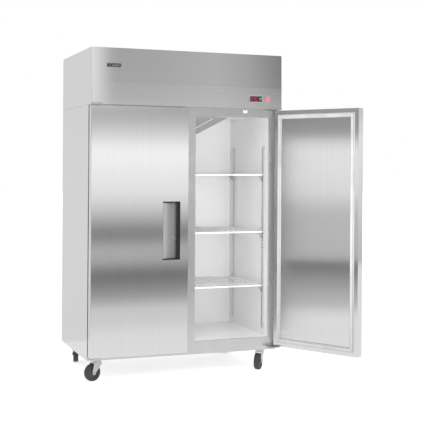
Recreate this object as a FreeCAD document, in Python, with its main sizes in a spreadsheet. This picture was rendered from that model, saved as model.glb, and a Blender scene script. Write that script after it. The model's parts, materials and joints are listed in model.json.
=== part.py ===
import FreeCAD, Part
import math
import os
import re

import Sketcher

# Two-door upright reach-in refrigerator on four swivel casters, with the machine
# compartment on top.  Millimetres, +Z up, front towards -Y, +X to the viewer's right.
# The origin is on the floor under the middle of the cabinet's footprint.  The left
# leaf is closed, the right leaf stands open, and each caster has its own heading.

Vector = FreeCAD.Vector
Rotation = FreeCAD.Rotation
Placement = FreeCAD.Placement
UP = Vector(0, 0, 1)

DIMENSIONS = (
    # overall
    ("cabinet_width", 1200, "outside width over the side panels"),
    ("cabinet_depth", 770, "front of doors and header to the back panel"),
    ("cabinet_height", 1950, "floor to the top cover"),
    ("header_height", 330, "machine compartment over the cabinet"),
    ("caster_height", 130, "floor to the cabinet's underside"),
    # sheet metal and walls
    ("sheet_gauge", 1.5, "outer sheet metal"),
    ("liner_gauge", 2, "inner liner"),
    ("side_wall", 50, "outside to liner face at the sides"),
    ("back_wall", 50, "outside to liner face at the back"),
    ("panel_return", 12, "folded edges of the side panels"),
    ("face_setback", 64, "door front to the cabinet's front frame"),
    ("frame_depth", 20, "front frame members, front to back"),
    ("floor_rail", 78, "underside to the lower edge of the opening"),
    ("head_rail", 50, "upper edge of the opening to the header"),
    ("ceiling_drop", 38, "header to the liner ceiling"),
    ("mullion_half", 62, "half the width of the centre mullion"),
    ("mullion_depth", 60, "centre mullion, front to back"),
    # header
    ("crease_height", 127, "header's lower edge to its crease"),
    ("header_lean", 4, "upper band leans back by this much at the top"),
    ("header_return", 18, "folded edge along the header's top"),
    ("louvre_width", 190, "slot in the rear grille"),
    ("louvre_height", 7, "slot in the rear grille"),
    ("louvre_rise", 60, "header's lower edge to the lowest slot"),
    ("louvre_shift", 120, "middle column of slots, left of the middle"),
    ("inlet_x", 446, "power inlet hole from the middle"),
    ("inlet_rise", 60, "header's lower edge to the power inlet's centre"),
    ("inlet_radius", 11, "power inlet hole"),
    # doors
    ("door_gap", 3, "leaf to side of cabinet, and to the centre line"),
    ("door_thickness", 54, "leaf without its gasket"),
    ("door_rise", 25, "underside of cabinet to lower edge of leaf"),
    ("door_clearance", 7, "leaf to header"),
    ("edge_radius", 4, "leaf's upright front edges"),
    ("edge_relief", 3, "step in the foam behind the leaf's rounded edges"),
    ("flange_width", 25, "skin folded onto the back of the leaf"),
    ("gasket_width", 27, "gasket base"),
    ("gasket_height", 9.4, "gasket base to its sealing face"),
    ("bulb_inset", 31, "leaf edge to the gasket's magnet tube"),
    ("bulb_width", 14, "gasket's magnet tube"),
    ("inner_inset", 54, "leaf edge to the inner panel"),
    # hinges
    ("hinge_inset", 11, "cabinet side to the pin"),
    ("hinge_setback", 42, "door front to the pin"),
    ("pin_radius", 4, "hinge pin"),
    ("pin_length", 22, "hinge pin below its arm"),
    ("bush_radius", 6.2, "nylon hinge bush"),
    ("bush_length", 26, "nylon hinge bush"),
    ("fit_clearance", 0.05, "radial running clearance"),
    ("arm_gauge", 4, "hinge arm plate"),
    ("arm_length", 66, "hinge arm, along the door"),
    ("leg_width", 26, "hinge leg on the frame"),
    ("leg_height", 40, "hinge leg on the frame"),
    ("leg_gauge", 3, "hinge leg on the frame"),
    # recessed door handle
    ("handle_inset", 53, "leaf edge to the handle"),
    ("handle_width", 107, "handle recess"),
    ("handle_length", 345, "handle recess"),
    ("handle_base", 581, "cabinet's underside to the handle"),
    ("handle_depth", 38, "handle recess, outside"),
    ("handle_wall", 3, "handle recess, wall"),
    ("grip_width", 22, "grip lip"),
    ("grip_wall", 12, "wall behind the grip lip"),
    ("grip_drop", 9, "grip lip, front to back"),
    ("grip_proud", 3, "grip lip in front of the door"),
    ("ramp_length", 68, "sloping side of the recess"),
    # shelves and their supports
    ("shelf_width", 518, "wire shelf"),
    ("shelf_front", 133, "door front to the shelf's front bar"),
    ("shelf_depth", 555, "wire shelf"),
    ("shelf_bar", 8, "square bars round the shelf"),
    ("wire_radius", 2, "shelf wires"),
    ("brace_radius", 3, "cross rods under the wires"),
    ("wire_pitch", 27, "spacing of the shelf wires"),
    ("shelf_side_gap", 16, "side wall to the shelf"),
    ("pilaster_width", 26, "slotted upright"),
    ("pilaster_depth", 10, "slotted upright"),
    ("pilaster_front", 148, "door front to the front uprights"),
    ("pilaster_back", 660, "door front to the back uprights"),
    ("pilaster_foot", 45, "liner floor to the uprights"),
    ("pilaster_head", 190, "uprights to the liner ceiling"),
    ("slot_foot", 60, "liner floor to the lowest slot"),
    ("slot_pitch", 22, "slots up the uprights"),
    ("slot_width", 10, "slot in an upright"),
    ("slot_height", 8, "slot in an upright"),
    ("clip_reach", 15, "shelf clip, out from its upright"),
    ("clip_drop", 26, "shelf clip, top to bottom"),
    ("clip_tip", 4, "shelf clip, height of its outer end"),
    ("clip_width", 8, "shelf clip, front to back"),
    ("shelf_play", 0.3, "clip or bracket to the part it holds"),
    # controls
    ("control_height", 59, "header's lower edge to the controls' centre"),
    ("control_x", 427, "temperature controller's centre"),
    ("control_width", 96, "temperature controller bezel"),
    ("control_tall", 48, "temperature controller bezel"),
    ("bezel_proud", 3, "bezels in front of the header"),
    ("bezel_rim", 9, "bezel beyond its hole, top and bottom"),
    ("key_x", 27, "controller's centre to the keys' centre"),
    ("key_spread", 5.5, "keys' centre to each key"),
    ("key_half", 4.2, "half the width of a key"),
    ("key_play", 0.3, "key or rocker to its hole"),
    ("key_proud", 1.2, "keys in front of the bezel"),
    ("switch_x", 506, "lighted switch's centre"),
    ("switch_half", 10.8, "half the width of the switch behind its frame"),
    ("switch_half_tall", 15.8, "half the height of the switch behind its frame"),
    ("switch_rim", 4.2, "switch frame beyond the switch"),
    ("rocker_half", 9, "half the width of the rocker"),
    ("rocker_half_tall", 13.2, "half the height of the rocker"),
    ("badge_x", 466, "badge's centre, left of the middle"),
    ("badge_height", 228, "header's lower edge to the badge's centre"),
    ("badge_width", 84, "badge plate"),
    ("badge_tall", 22, "badge plate"),
    ("badge_gauge", 2, "badge plate"),
    ("badge_corner", 3, "badge plate's rounded corners"),
    ("plunger_x", 384, "door switch from the middle"),
    ("plunger_drop", 17, "header to the door switch"),
    ("plunger_radius", 4, "door switch plunger"),
    ("plunger_travel", 3, "door switch plunger"),
    # cooling unit
    ("cover_half", 300, "half the width of the evaporator cover"),
    ("cover_front", 150, "door front to the evaporator cover"),
    ("cover_lip", 16, "front lip of the evaporator cover"),
    ("cover_fall", 85, "slope of the evaporator cover to the back"),
    ("cover_gauge", 1.2, "evaporator cover"),
    ("cold_fan_setback", 200, "cover front to the evaporator fan's axis"),
    ("cold_fan_radius", 84, "evaporator fan"),
    ("port_margin", 4, "fan port's edge beyond the blades"),
    ("port_band", 20, "open ring in the fan port"),
    ("port_pitch", 26, "open ring to open ring in the fan port"),
    ("spoke_half", 3, "half the width of the fan port's spokes"),
    ("coil_low", 66, "ceiling to the bottom of the coil"),
    ("coil_high", 4, "ceiling to the top of the coil"),
    ("coil_depth", 170, "coil, front to back"),
    ("coil_back_gap", 20, "coil to the back of the liner"),
    ("coil_tube_radius", 5, "coil tube"),
    ("coil_tube_length", 540, "coil tube"),
    ("coil_fin_pitch", 24, "coil fins"),
    ("compressor_x", 180, "compressor's centre"),
    ("compressor_y", 40, "compressor's centre"),
    ("foot_gauge", 4, "compressor base plate"),
    ("mount_height", 8, "rubber mounts under the compressor"),
    ("condenser_left", 390, "condenser's left end from the middle"),
    ("condenser_fin_pitch", 12, "condenser fins"),
    ("condenser_front", 270, "middle of the cabinet to the condenser"),
    ("condenser_depth", 75, "condenser, front to back"),
    ("condenser_lift", 12, "deck to the condenser"),
    ("condenser_tall", 260, "condenser"),
    ("condenser_tube_radius", 4.5, "condenser tube"),
    ("condenser_tube_length", 316, "condenser tube"),
    ("shroud_front", 252, "middle of the cabinet to the fan shroud"),
    ("shroud_gauge", 3, "fan shroud"),
    ("shroud_height", 284, "fan shroud"),
    ("warm_fan_x", 240, "condenser fan's axis, left of the middle"),
    ("warm_fan_y", 232, "condenser fan's middle"),
    ("warm_fan_rise", 142, "deck to the condenser fan's axis"),
    ("warm_fan_radius", 105, "condenser fan"),
    ("electrical_height", 150, "electrical box without its lid"),
    ("lid_lap", 3, "electrical box lid over its sides"),
    ("gland_radius", 10.8, "power gland through the grille"),
    ("gland_flange_radius", 17, "power gland outside"),
    ("gland_bore_radius", 5, "way for the power cable"),
    # casters
    ("caster_inset", 76, "cabinet side to the swivel"),
    ("caster_front", 140, "door front to the front swivels"),
    ("caster_back", 686, "door front to the back swivels"),
    ("wheel_radius", 50, "caster wheel"),
    ("wheel_width", 32, "caster wheel"),
    ("caster_trail", 30, "swivel to the wheel's axle"),
    ("axle_radius", 4, "caster axle"),
    ("king_radius", 6, "caster kingpin"),
    ("plate_half_length", 50, "caster top plate, half its width"),
    ("plate_half_depth", 42, "caster top plate, half its depth"),
    ("plate_gauge", 4, "caster top plate"),
    ("crown_drop", 26, "cabinet's underside to the fork's crown"),
    ("crown_back", 26, "swivel to the fork's heel"),
    ("crown_front", 30, "swivel to the fork's shoulder"),
    ("fork_gauge", 3, "caster fork"),
    ("fork_gap", 3, "wheel to fork"),
    ("hub_proud", 2, "wheel hub beyond the tyre"),
    ("tyre_depth", 13, "tyre, tread to hub"),
)

# Names for the places that many sub-parts share, as expressions of the sheet's cells.
HALF = "cabinet_width / 2"
FRONT = "-cabinet_depth / 2"
BACK = "cabinet_depth / 2"
FACE = "(-cabinet_depth / 2 + face_setback)"
INNER_X = "(cabinet_width / 2 - side_wall)"
INNER_BACK = "(cabinet_depth / 2 - back_wall)"
UNDERSIDE = "caster_height"
BODY_TOP = "(cabinet_height - header_height)"
OPENING_LOW = "(caster_height + floor_rail)"
OPENING_TOP = "(cabinet_height - header_height - head_rail)"
CEILING = "(cabinet_height - header_height - ceiling_drop)"
DOOR_LOW = "(caster_height + door_rise)"
DOOR_TOP = "(cabinet_height - header_height - door_clearance)"
DOOR_IN = "door_gap"
DOOR_OUT = "(cabinet_width / 2 - door_gap)"
DOOR_BACK = "(-cabinet_depth / 2 + door_thickness)"
HINGE_X = "(cabinet_width / 2 - hinge_inset)"
HINGE_Y = "(-cabinet_depth / 2 + hinge_setback)"

OPEN_ANGLE = 121.0
SHELF_LEVELS = {"upper": 1080.0, "middle": 722.0, "lower": 386.0}
# Heading of each caster: the way from its swivel to its axle, in degrees about +Z.
CASTER_HEADINGS = {"front_left": 202.0, "front_right": 230.0, "rear_left": 78.0, "rear_right": 155.0}

doc = FreeCAD.newDocument("ReachInRefrigerator")
sheet = doc.addObject("Spreadsheet::Sheet", "Dims")
CELLS = set()
for row, (alias, size, meaning) in enumerate(DIMENSIONS, start=1):
    sheet.set(f"A{row}", meaning)
    sheet.set(f"B{row}", str(size))
    sheet.setAlias(f"B{row}", alias)
    CELLS.add(alias)
doc.recompute()

NODES = []


# ---------------------------------------------------------------- helpers

def linked(text):
    """The same expression with every cell's alias pointed at the sheet."""
    return re.sub(r"[a-z_]+", lambda word: "Dims." + word.group(0) if word.group(0) in CELLS
                  else word.group(0), str(text))


def value(text):
    """An expression's number, for places that can't hold an expression."""
    answer = sheet.evalExpression(linked(text))
    return float(getattr(answer, "Value", answer))


def drive(obj, prop, text):
    obj.setExpression(prop, linked(text))


def place(obj, x, y, z):
    for axis, text in zip("xyz", (x, y, z)):
        drive(obj, f"Placement.Base.{axis}", text)


def box(name, x_span, y_span, z_span):
    """A box between pairs of expressions."""
    obj = doc.addObject("Part::Box", name)
    for prop, (low, high) in zip(("Length", "Width", "Height"), (x_span, y_span, z_span)):
        drive(obj, prop, f"({high}) - ({low})")
    place(obj, x_span[0], y_span[0], z_span[0])
    return obj


def rod(name, radius, length, foot, axis=UP):
    """A cylinder that starts at foot and runs along axis."""
    obj = doc.addObject("Part::Cylinder", name)
    drive(obj, "Radius", radius)
    drive(obj, "Height", length)
    obj.Placement = Placement(Vector(), Rotation(UP, axis))
    place(obj, *foot)
    return obj


def combine(kind, name, members):
    obj = doc.addObject(kind, name)
    setattr(obj, "Links" if kind == "Part::Compound" else "Shapes", list(members))
    return obj


def group(name, members):
    """Separate solids that share one node."""
    return combine("Part::Compound", name, members)


def fuse(name, members):
    return combine("Part::MultiFuse", name, members)


def cut(name, base, tools):
    obj = doc.addObject("Part::Cut", name)
    obj.Base = base
    obj.Tool = tools[0] if len(tools) == 1 else group(name + "_tools", tools)
    return obj


def origin_plane(body, role):
    return [item for item in body.Origin.OriginFeatures if item.Role == role][0]


def outline(sketch, points):
    """A closed polygon whose corners are held by expressions."""
    first = sketch.GeometryCount
    corners = [Vector(value(u), value(v), 0) for u, v in points]
    count = len(corners)
    for index in range(count):
        sketch.addGeometry(Part.LineSegment(corners[index], corners[(index + 1) % count]), False)
    for index in range(count):
        following = first + (index + 1) % count
        sketch.addConstraint(Sketcher.Constraint("Coincident", first + index, 2, following, 1))
    for index, (u, v) in enumerate(points):
        for kind, text, size in (("DistanceX", u, corners[index].x), ("DistanceY", v, corners[index].y)):
            number = sketch.addConstraint(Sketcher.Constraint(kind, -1, 1, first + index, 1, size))
            sketch.setExpression(f"Constraints[{number}]", linked(text))


def new_sketch(body, name, role):
    sketch = body.newObject("Sketcher::SketchObject", name)
    sketch.AttachmentSupport = [(origin_plane(body, role), "")]
    sketch.MapMode = "FlatFace"
    return sketch


def padded(name, role, points, thickness, start="0"):
    """A body whose profile on an origin plane is padded along that plane's axis."""
    body = doc.addObject("PartDesign::Body", name)
    sketch = new_sketch(body, name + "_profile", role)
    drive(sketch, "AttachmentOffset.Base.z", start)
    outline(sketch, points)
    pad = body.newObject("PartDesign::Pad", name + "_pad")
    pad.Profile = sketch
    drive(pad, "Length", thickness)
    doc.recompute()
    return body


def mirrored(side, low, high):
    """An X span given for the right side, moved to either side."""
    return (low, high) if side == "right" else (f"-({high})", f"-({low})")


def signed(side, text):
    return f"({text})" if side == "right" else f"-({text})"


def node(obj, label):
    obj.Label = label
    NODES.append(obj)
    return obj


# ---------------------------------------------------------------- cabinet

def side_panel(side):
    """Folded outer side, and the flat header side above it."""
    outer = (HALF, f"{HALF} - panel_return")
    web = f"{HALF} - sheet_gauge"
    profile = (
        (outer[0], FACE), (outer[0], BACK), (outer[1], BACK), (outer[1], f"{BACK} - sheet_gauge"),
        (web, f"{BACK} - sheet_gauge"), (web, f"{FACE} + sheet_gauge"),
        (outer[1], f"{FACE} + sheet_gauge"), (outer[1], FACE),
    )
    points = [(signed(side, x), y) for x, y in profile]
    folded = padded(f"{side}_side_sheet", "XY_Plane", points, f"{BODY_TOP} - {UNDERSIDE}", UNDERSIDE)
    header_profile = (
        (FRONT, BODY_TOP), (FRONT, f"{BODY_TOP} + crease_height"),
        (f"{FRONT} + header_lean", "cabinet_height"),
        (f"{BACK} - sheet_gauge", "cabinet_height"), (f"{BACK} - sheet_gauge", BODY_TOP),
    )
    start = web if side == "right" else f"-({HALF})"
    header = padded(f"{side}_header_sheet", "YZ_Plane", header_profile, "sheet_gauge", start)
    node(group(f"{side}_side", [folded, header]), f"{side}_side_panel")


def outer_sheets():
    inner = f"{HALF} - panel_return"
    node(box("back_sheet", (f"-({inner})", inner), (f"{BACK} - sheet_gauge", BACK),
             (UNDERSIDE, BODY_TOP)), "back_panel")
    reach = f"{HALF} - sheet_gauge"
    node(box("base_sheet", (f"-({reach})", reach), (f"{FACE} + frame_depth", f"{BACK} - sheet_gauge"),
             (UNDERSIDE, f"{UNDERSIDE} + sheet_gauge")), "base_panel")
    node(box("deck_sheet", (f"-({reach})", reach), (FACE, f"{BACK} - sheet_gauge"),
             (BODY_TOP, f"{BODY_TOP} + sheet_gauge")), "machine_deck")


def front_frame():
    """Stiles, rails and the centre mullion round the two openings."""
    depth = (FACE, f"{FACE} + frame_depth")
    members = []
    for side in ("left", "right"):
        members.append(box(f"{side}_stile", mirrored(side, INNER_X, f"{HALF} - panel_return"), depth,
                           (UNDERSIDE, BODY_TOP)))
    across = (f"-{INNER_X}", INNER_X)
    members.append(box("floor_rail_bar", across, depth, (UNDERSIDE, OPENING_LOW)))
    head = box("head_rail_bar", across, depth, (OPENING_TOP, BODY_TOP))
    bores = [rod(f"{side}_switch_bore", "plunger_radius + 0.3", "frame_depth + 2",
                 (signed(side, "plunger_x"), f"{FACE} - 1", f"{BODY_TOP} - plunger_drop"), Vector(0, 1, 0))
             for side in ("left", "right")]
    members.append(cut("head_rail_bored", head, bores))
    members.append(box("mullion_bar", ("-mullion_half", "mullion_half"), (FACE, f"{FACE} + mullion_depth"),
                       (OPENING_LOW, OPENING_TOP)))
    node(group("frame_members", members), "front_frame")


def liner_and_foam():
    """Liner walls with foam slabs between them and the outer sheets."""
    start = f"{FACE} + frame_depth"
    behind = f"{BACK} - sheet_gauge"
    outer = f"{HALF} - sheet_gauge"
    shell_x = f"{INNER_X} + liner_gauge"
    shell_y = f"{INNER_BACK} + liner_gauge"
    floor = f"{OPENING_LOW} - liner_gauge"
    roof = f"{CEILING} + liner_gauge"
    base = f"{UNDERSIDE} + sheet_gauge"
    walls, foam = [], []
    for side in ("left", "right"):
        walls.append(box(f"{side}_liner_wall", mirrored(side, INNER_X, shell_x), (start, shell_y),
                         (floor, roof)))
        foam.append(box(f"{side}_foam", mirrored(side, shell_x, outer), (start, behind), (base, BODY_TOP)))
    inside = (f"-{INNER_X}", INNER_X)
    walls.append(box("back_liner_wall", inside, (INNER_BACK, shell_y), (floor, roof)))
    walls.append(box("liner_floor", inside, (start, INNER_BACK), (floor, OPENING_LOW)))
    walls.append(box("liner_ceiling", inside, (start, INNER_BACK), (CEILING, roof)))
    node(group("liner_walls", walls), "inner_liner")
    between = (f"-({shell_x})", shell_x)
    foam.append(box("back_foam", between, (shell_y, behind), (base, BODY_TOP)))
    foam.append(box("floor_foam", between, (start, shell_y), (base, floor)))
    foam.append(box("ceiling_foam", between, (start, shell_y), (roof, BODY_TOP)))
    node(group("foam_slabs", foam), "insulation")


# ---------------------------------------------------------------- header

def header_front():
    """Creased front sheet with cut-outs for the controller and the switch."""
    inner = f"{FRONT} + sheet_gauge"
    profile = (
        (f"{FACE} - 1", BODY_TOP), (FRONT, BODY_TOP), (FRONT, f"{BODY_TOP} + crease_height"),
        (f"{FRONT} + header_lean", "cabinet_height"),
        (f"{FRONT} + header_lean + header_return", "cabinet_height"),
        (f"{FRONT} + header_lean + header_return", "cabinet_height - sheet_gauge"),
        (f"{inner} + header_lean", "cabinet_height - sheet_gauge"),
        (inner, f"{BODY_TOP} + crease_height"), (inner, f"{BODY_TOP} + sheet_gauge"),
        (f"{FACE} - 1", f"{BODY_TOP} + sheet_gauge"),
    )
    reach = f"{HALF} - sheet_gauge"
    sheet_metal = padded("header_sheet", "YZ_Plane", profile, f"2 * ({reach})", f"-({reach})")
    height = f"{BODY_TOP} + control_height"
    depth = (f"{FRONT} - 1", f"{FRONT} + 3")
    holes = [
        box("controller_hole", ("control_x - control_width / 2 + 9", "control_x + control_width / 2 - 9"),
            depth, (f"{height} - control_tall / 2 + 8", f"{height} + control_tall / 2 - 8")),
        box("switch_hole", ("switch_x - 11", "switch_x + 11"), depth, (f"{height} - 16", f"{height} + 16")),
    ]
    node(cut("header_sheet_cut", sheet_metal, holes), "header_front_panel")


def header_back():
    """Louvred rear grille with the power inlet hole, and the top cover."""
    body = doc.addObject("PartDesign::Body", "rear_grille_body")
    plate = new_sketch(body, "grille_plate", "XZ_Plane")
    drive(plate, "AttachmentOffset.Base.z", f"-({BACK})")
    low, high = f"{BODY_TOP} + sheet_gauge", "cabinet_height"
    outline(plate, ((f"-({HALF})", low), (HALF, low), (HALF, high), (f"-({HALF})", high)))
    pad = body.newObject("PartDesign::Pad", "grille_pad")
    pad.Profile = plate
    drive(pad, "Length", "sheet_gauge")
    doc.recompute()
    slots = new_sketch(body, "grille_slots", "XZ_Plane")
    drive(slots, "AttachmentOffset.Base.z", f"-({BACK})")
    for column in (-1, 0, 1):
        for level in range(10):
            left = f"{column} * louvre_width * 1.15 - louvre_width / 2 - louvre_shift"
            lower = f"{BODY_TOP} + louvre_rise + {level} * 3.2 * louvre_height"
            outline(slots, ((left, lower), (f"{left} + louvre_width", lower),
                            (f"{left} + louvre_width", f"{lower} + louvre_height"),
                            (left, f"{lower} + louvre_height")))
    rise = f"{BODY_TOP} + inlet_rise"
    centre = Vector(value("inlet_x"), value(rise), 0)
    inlet = slots.addGeometry(Part.Circle(centre, UP, value("inlet_radius")), False)
    for text, constraint in (
            ("inlet_radius", Sketcher.Constraint("Radius", inlet, value("inlet_radius"))),
            ("inlet_x", Sketcher.Constraint("DistanceX", -1, 1, inlet, 3, centre.x)),
            (rise, Sketcher.Constraint("DistanceY", -1, 1, inlet, 3, centre.y))):
        number = slots.addConstraint(constraint)
        slots.setExpression(f"Constraints[{number}]", linked(text))
    pocket = body.newObject("PartDesign::Pocket", "grille_pocket")
    pocket.Profile = slots
    pocket.Type = "ThroughAll"
    pocket.Midplane = True
    doc.recompute()
    node(body, "header_rear_grille")
    reach = f"{HALF} - sheet_gauge"
    node(box("top_sheet", (f"-({reach})", reach),
             (f"{FRONT} + header_lean + header_return", f"{BACK} - sheet_gauge"),
             ("cabinet_height - sheet_gauge", "cabinet_height")), "header_top_cover")


def badge():
    """Blank plate that lies on the header's leaning upper band, with a hair of clearance."""
    lean = math.atan2(value("header_lean"), value("header_height - crease_height"))
    plate = doc.addObject("Part::Box", "badge_blank")
    for prop, size in (("Length", "badge_width"), ("Width", "badge_gauge"), ("Height", "badge_tall")):
        drive(plate, prop, size)
    turn = Rotation(Vector(1, 0, 0), -math.degrees(lean))
    rise = value("badge_height - crease_height - badge_tall / 2")
    foot = Vector(value("-badge_x - badge_width / 2"), value(FRONT) + rise * math.tan(lean),
                  value(f"{BODY_TOP} + crease_height") + rise)
    clearance = value("badge_gauge + fit_clearance")
    plate.Placement = Placement(foot + turn.multVec(Vector(0, -clearance, 0)), turn)
    rounded = doc.addObject("Part::Fillet", "badge_rounded")
    rounded.Base = plate
    doc.recompute()
    gauge = value("badge_gauge")
    corner = value("badge_corner")
    edges = [i + 1 for i, edge in enumerate(plate.Shape.Edges) if abs(edge.Length - gauge) < 0.01]
    rounded.Edges = [(i, corner, corner) for i in edges]
    node(rounded, "badge_plate")


KEY_GRID = (
    (-1, -1, "key_lower_left"),
    (1, -1, "key_lower_right"),
    (-1, 1, "key_upper_left"),
    (1, 1, "key_upper_right"),
)


def controls():
    """Temperature controller with four keys, and a lighted rocker switch."""
    height = f"{BODY_TOP} + control_height"
    face = (f"{FRONT} - bezel_proud", FRONT)
    left, right = "control_x - control_width / 2", "control_x + control_width / 2"
    low, high = f"{height} - control_tall / 2", f"{height} + control_tall / 2"
    bezel = box("controller_bezel", (left, right), face, (low, high))
    rear = box("controller_case", (f"{left} + bezel_rim + 1", f"{right} - bezel_rim - 1"),
               (FRONT, f"{FRONT} + 58"), (f"{low} + bezel_rim", f"{high} - bezel_rim"))
    holes = []
    for column, level, name in KEY_GRID:
        x = f"control_x + key_x + {column} * key_spread"
        z = f"{height} + {level} * key_spread"
        hole = "(key_half + key_play)"
        holes.append(box(name + "_hole", (f"{x} - {hole}", f"{x} + {hole}"),
                         (f"{FRONT} - bezel_proud - 1", f"{FRONT} + 2"), (f"{z} - {hole}", f"{z} + {hole}")))
        node(box(name + "_cap", (f"{x} - key_half", f"{x} + key_half"),
                 (f"{FRONT} - bezel_proud - key_proud", f"{FRONT} + 0.8"),
                 (f"{z} - key_half", f"{z} + key_half")), name)
    shells = fuse("controller_shell", [bezel, rear])
    node(cut("controller_cut", shells, holes), "controller_housing")
    switch(height, face)


def switch(height, face):
    """Framed well with a see-saw rocker, tipped towards its lower half."""
    wide, tall = "(switch_half + switch_rim)", "(switch_half_tall + switch_rim)"
    frame = box("switch_frame", (f"switch_x - {wide}", f"switch_x + {wide}"), face,
                (f"{height} - {tall}", f"{height} + {tall}"))
    case = box("switch_case", ("switch_x - switch_half", "switch_x + switch_half"), (FRONT, f"{FRONT} + 30"),
               (f"{height} - switch_half_tall", f"{height} + switch_half_tall"))
    wide, tall = "(switch_half - 1.2)", "(switch_half_tall - 1.2)"
    well = box("switch_well", (f"switch_x - {wide}", f"switch_x + {wide}"),
               (f"{FRONT} - bezel_proud - 1", f"{FRONT} + 12"), (f"{height} - {tall}", f"{height} + {tall}"))
    node(cut("switch_cut", fuse("switch_shell", [frame, case]), [well]), "switch_housing")
    front = (f"{FRONT} - 5", f"{FRONT} - 4", f"{FRONT} - 5")
    rear = (f"{FRONT} + 4", f"{FRONT} + 7", f"{FRONT} + 4")
    profile = (
        (front[0], f"{height} + rocker_half_tall"), (front[1], height),
        (front[2], f"{height} - rocker_half_tall"), (rear[0], f"{height} - rocker_half_tall + 0.8"),
        (rear[1], height), (rear[2], f"{height} + rocker_half_tall - 0.8"),
    )
    rocker = padded("rocker_key", "YZ_Plane", profile, "2 * rocker_half", "switch_x - rocker_half")
    pivot = Vector(value("switch_x"), value(FRONT), value(height))
    rocker.Placement = Placement(Vector(), Rotation(Vector(1, 0, 0), 6), pivot)
    node(rocker, "power_rocker")


def door_switches():
    """Flanged guides on the head rail and the plungers that the leaves press."""
    height = f"{BODY_TOP} - plunger_drop"
    guides = []
    for side in ("left", "right"):
        x = signed(side, "plunger_x")
        flange = box(f"{side}_guide_plate", (f"{x} - 13", f"{x} + 13"), (f"{FACE} - 3", FACE),
                     (f"{height} - 8", f"{height} + 8"))
        bore = rod(f"{side}_guide_bore", "plunger_radius + 0.3", "5", (x, f"{FACE} - 4", height),
                   Vector(0, 1, 0))
        guides.append(cut(f"{side}_guide", flange, [bore]))
        tip = f"{DOOR_BACK} + 0.4" if side == "left" else f"{DOOR_BACK} + 0.4 - plunger_travel"
        plunger = rod(f"{side}_plunger_rod", "plunger_radius", "20", (x, tip, height), Vector(0, 1, 0))
        node(plunger, f"{side}_door_plunger")
    node(group("switch_guides", guides), "door_switches")


# ---------------------------------------------------------------- doors

def at_door(side, obj):
    """The right leaf stands open, so its pieces are turned about its hinge pin."""
    if side == "right":
        pin = Vector(value(HINGE_X), value(HINGE_Y), 0)
        obj.Placement = Placement(Vector(), Rotation(UP, OPEN_ANGLE), pin)
    return obj


def leaf_box(name, side, inset, y_span):
    """A box on a leaf, set in from the leaf's four edges."""
    return box(name, mirrored(side, f"{DOOR_IN} + {inset}", f"{DOOR_OUT} - {inset}"), y_span,
               (f"{DOOR_LOW} + {inset}", f"{DOOR_TOP} - {inset}"))


def leaf_ring(name, side, outer, inner, y_span):
    hole = (f"{y_span[0]} - 1", f"{y_span[1]} + 1")
    outside = leaf_box(name + "_outside", side, outer, y_span)
    return cut(name, outside, [leaf_box(name + "_inside", side, inner, hole)])


def handle_block(name, side):
    """The room that the handle recess takes in the leaf."""
    low = f"{UNDERSIDE} + handle_base"
    return box(name, mirrored(side, f"{DOOR_IN} + handle_inset", f"{DOOR_IN} + handle_inset + handle_width"),
               (f"{FRONT} - 1", f"{FRONT} + handle_depth"), (low, f"{low} + handle_length"))


def hinge_bores(name, side, radius, length):
    """Cylinders up and down from the leaf's ends, on the hinge axis."""
    x = signed(side, HINGE_X)
    return [rod(f"{name}_lower", radius, length, (x, HINGE_Y, DOOR_LOW)),
            rod(f"{name}_upper", radius, length, (x, HINGE_Y, f"{DOOR_TOP} - ({length})"))]


def door_skin(side):
    block = leaf_box(f"{side}_skin_block", side, "0", (FRONT, DOOR_BACK))
    rounded = doc.addObject("Part::Fillet", f"{side}_skin_rounded")
    rounded.Base = block
    doc.recompute()
    radius = value("edge_radius")
    front = value(FRONT)
    upright = [i + 1 for i, edge in enumerate(block.Shape.Edges)
               if abs(edge.Length - value(f"{DOOR_TOP} - {DOOR_LOW}")) < 0.01
               and abs(edge.Vertexes[0].Y - front) < 0.01]
    rounded.Edges = [(i, radius, radius) for i in upright]
    hollow = leaf_box(f"{side}_skin_hollow", side, "sheet_gauge",
                      (f"{FRONT} + sheet_gauge", f"{DOOR_BACK} - sheet_gauge"))
    window = leaf_box(f"{side}_skin_window", side, "flange_width", (f"{DOOR_BACK} - 3", f"{DOOR_BACK} + 1"))
    tools = [hollow, window, handle_block(f"{side}_skin_handle_hole", side)]
    tools += hinge_bores(f"{side}_skin_pin_hole", side, "bush_radius", "bush_length")
    node(at_door(side, cut(f"{side}_skin", rounded, tools)), f"{side}_door_skin")


def door_core(side):
    """Foam that fills the skin, in flat-sided blocks round the handle's recess."""
    grip = f"{DOOR_IN} + handle_inset"
    far = f"{grip} + handle_width"
    low = f"{UNDERSIDE} + handle_base"
    high = f"{low} + handle_length"
    front = f"{FRONT} + sheet_gauge"
    depth = (front, f"{DOOR_BACK} - sheet_gauge")
    inner, outer = f"{DOOR_IN} + sheet_gauge", f"{DOOR_OUT} - sheet_gauge"
    bottom, top = f"{DOOR_LOW} + sheet_gauge", f"{DOOR_TOP} - sheet_gauge"
    blocks = []
    for name, span, y_span, z_span in (
            ("above", (grip, far), depth, (high, top)),
            ("below", (grip, far), depth, (bottom, low)),
            ("behind", (grip, far), (f"{FRONT} + handle_depth", depth[1]), (low, high))):
        blocks.append(box(f"{side}_core_{name}", mirrored(side, *span), y_span, z_span))
    bores = hinge_bores(f"{side}_core_pin_hole", side, "bush_radius", "bush_length")
    for name, span, edge, extra in (
            ("in", (inner, grip), (inner, f"{inner} + edge_relief"), []),
            ("out", (far, outer), (f"{outer} - edge_relief", outer), bores)):
        block = box(f"{side}_core_{name}", mirrored(side, *span), depth, (bottom, top))
        relief = box(f"{side}_core_relief_{name}", mirrored(side, *edge), (front, f"{front} + edge_relief"),
                     (bottom, top))
        blocks.append(cut(f"{side}_core_eased_{name}", block, [relief] + extra))
    node(at_door(side, group(f"{side}_core", blocks)), f"{side}_door_core")


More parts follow.
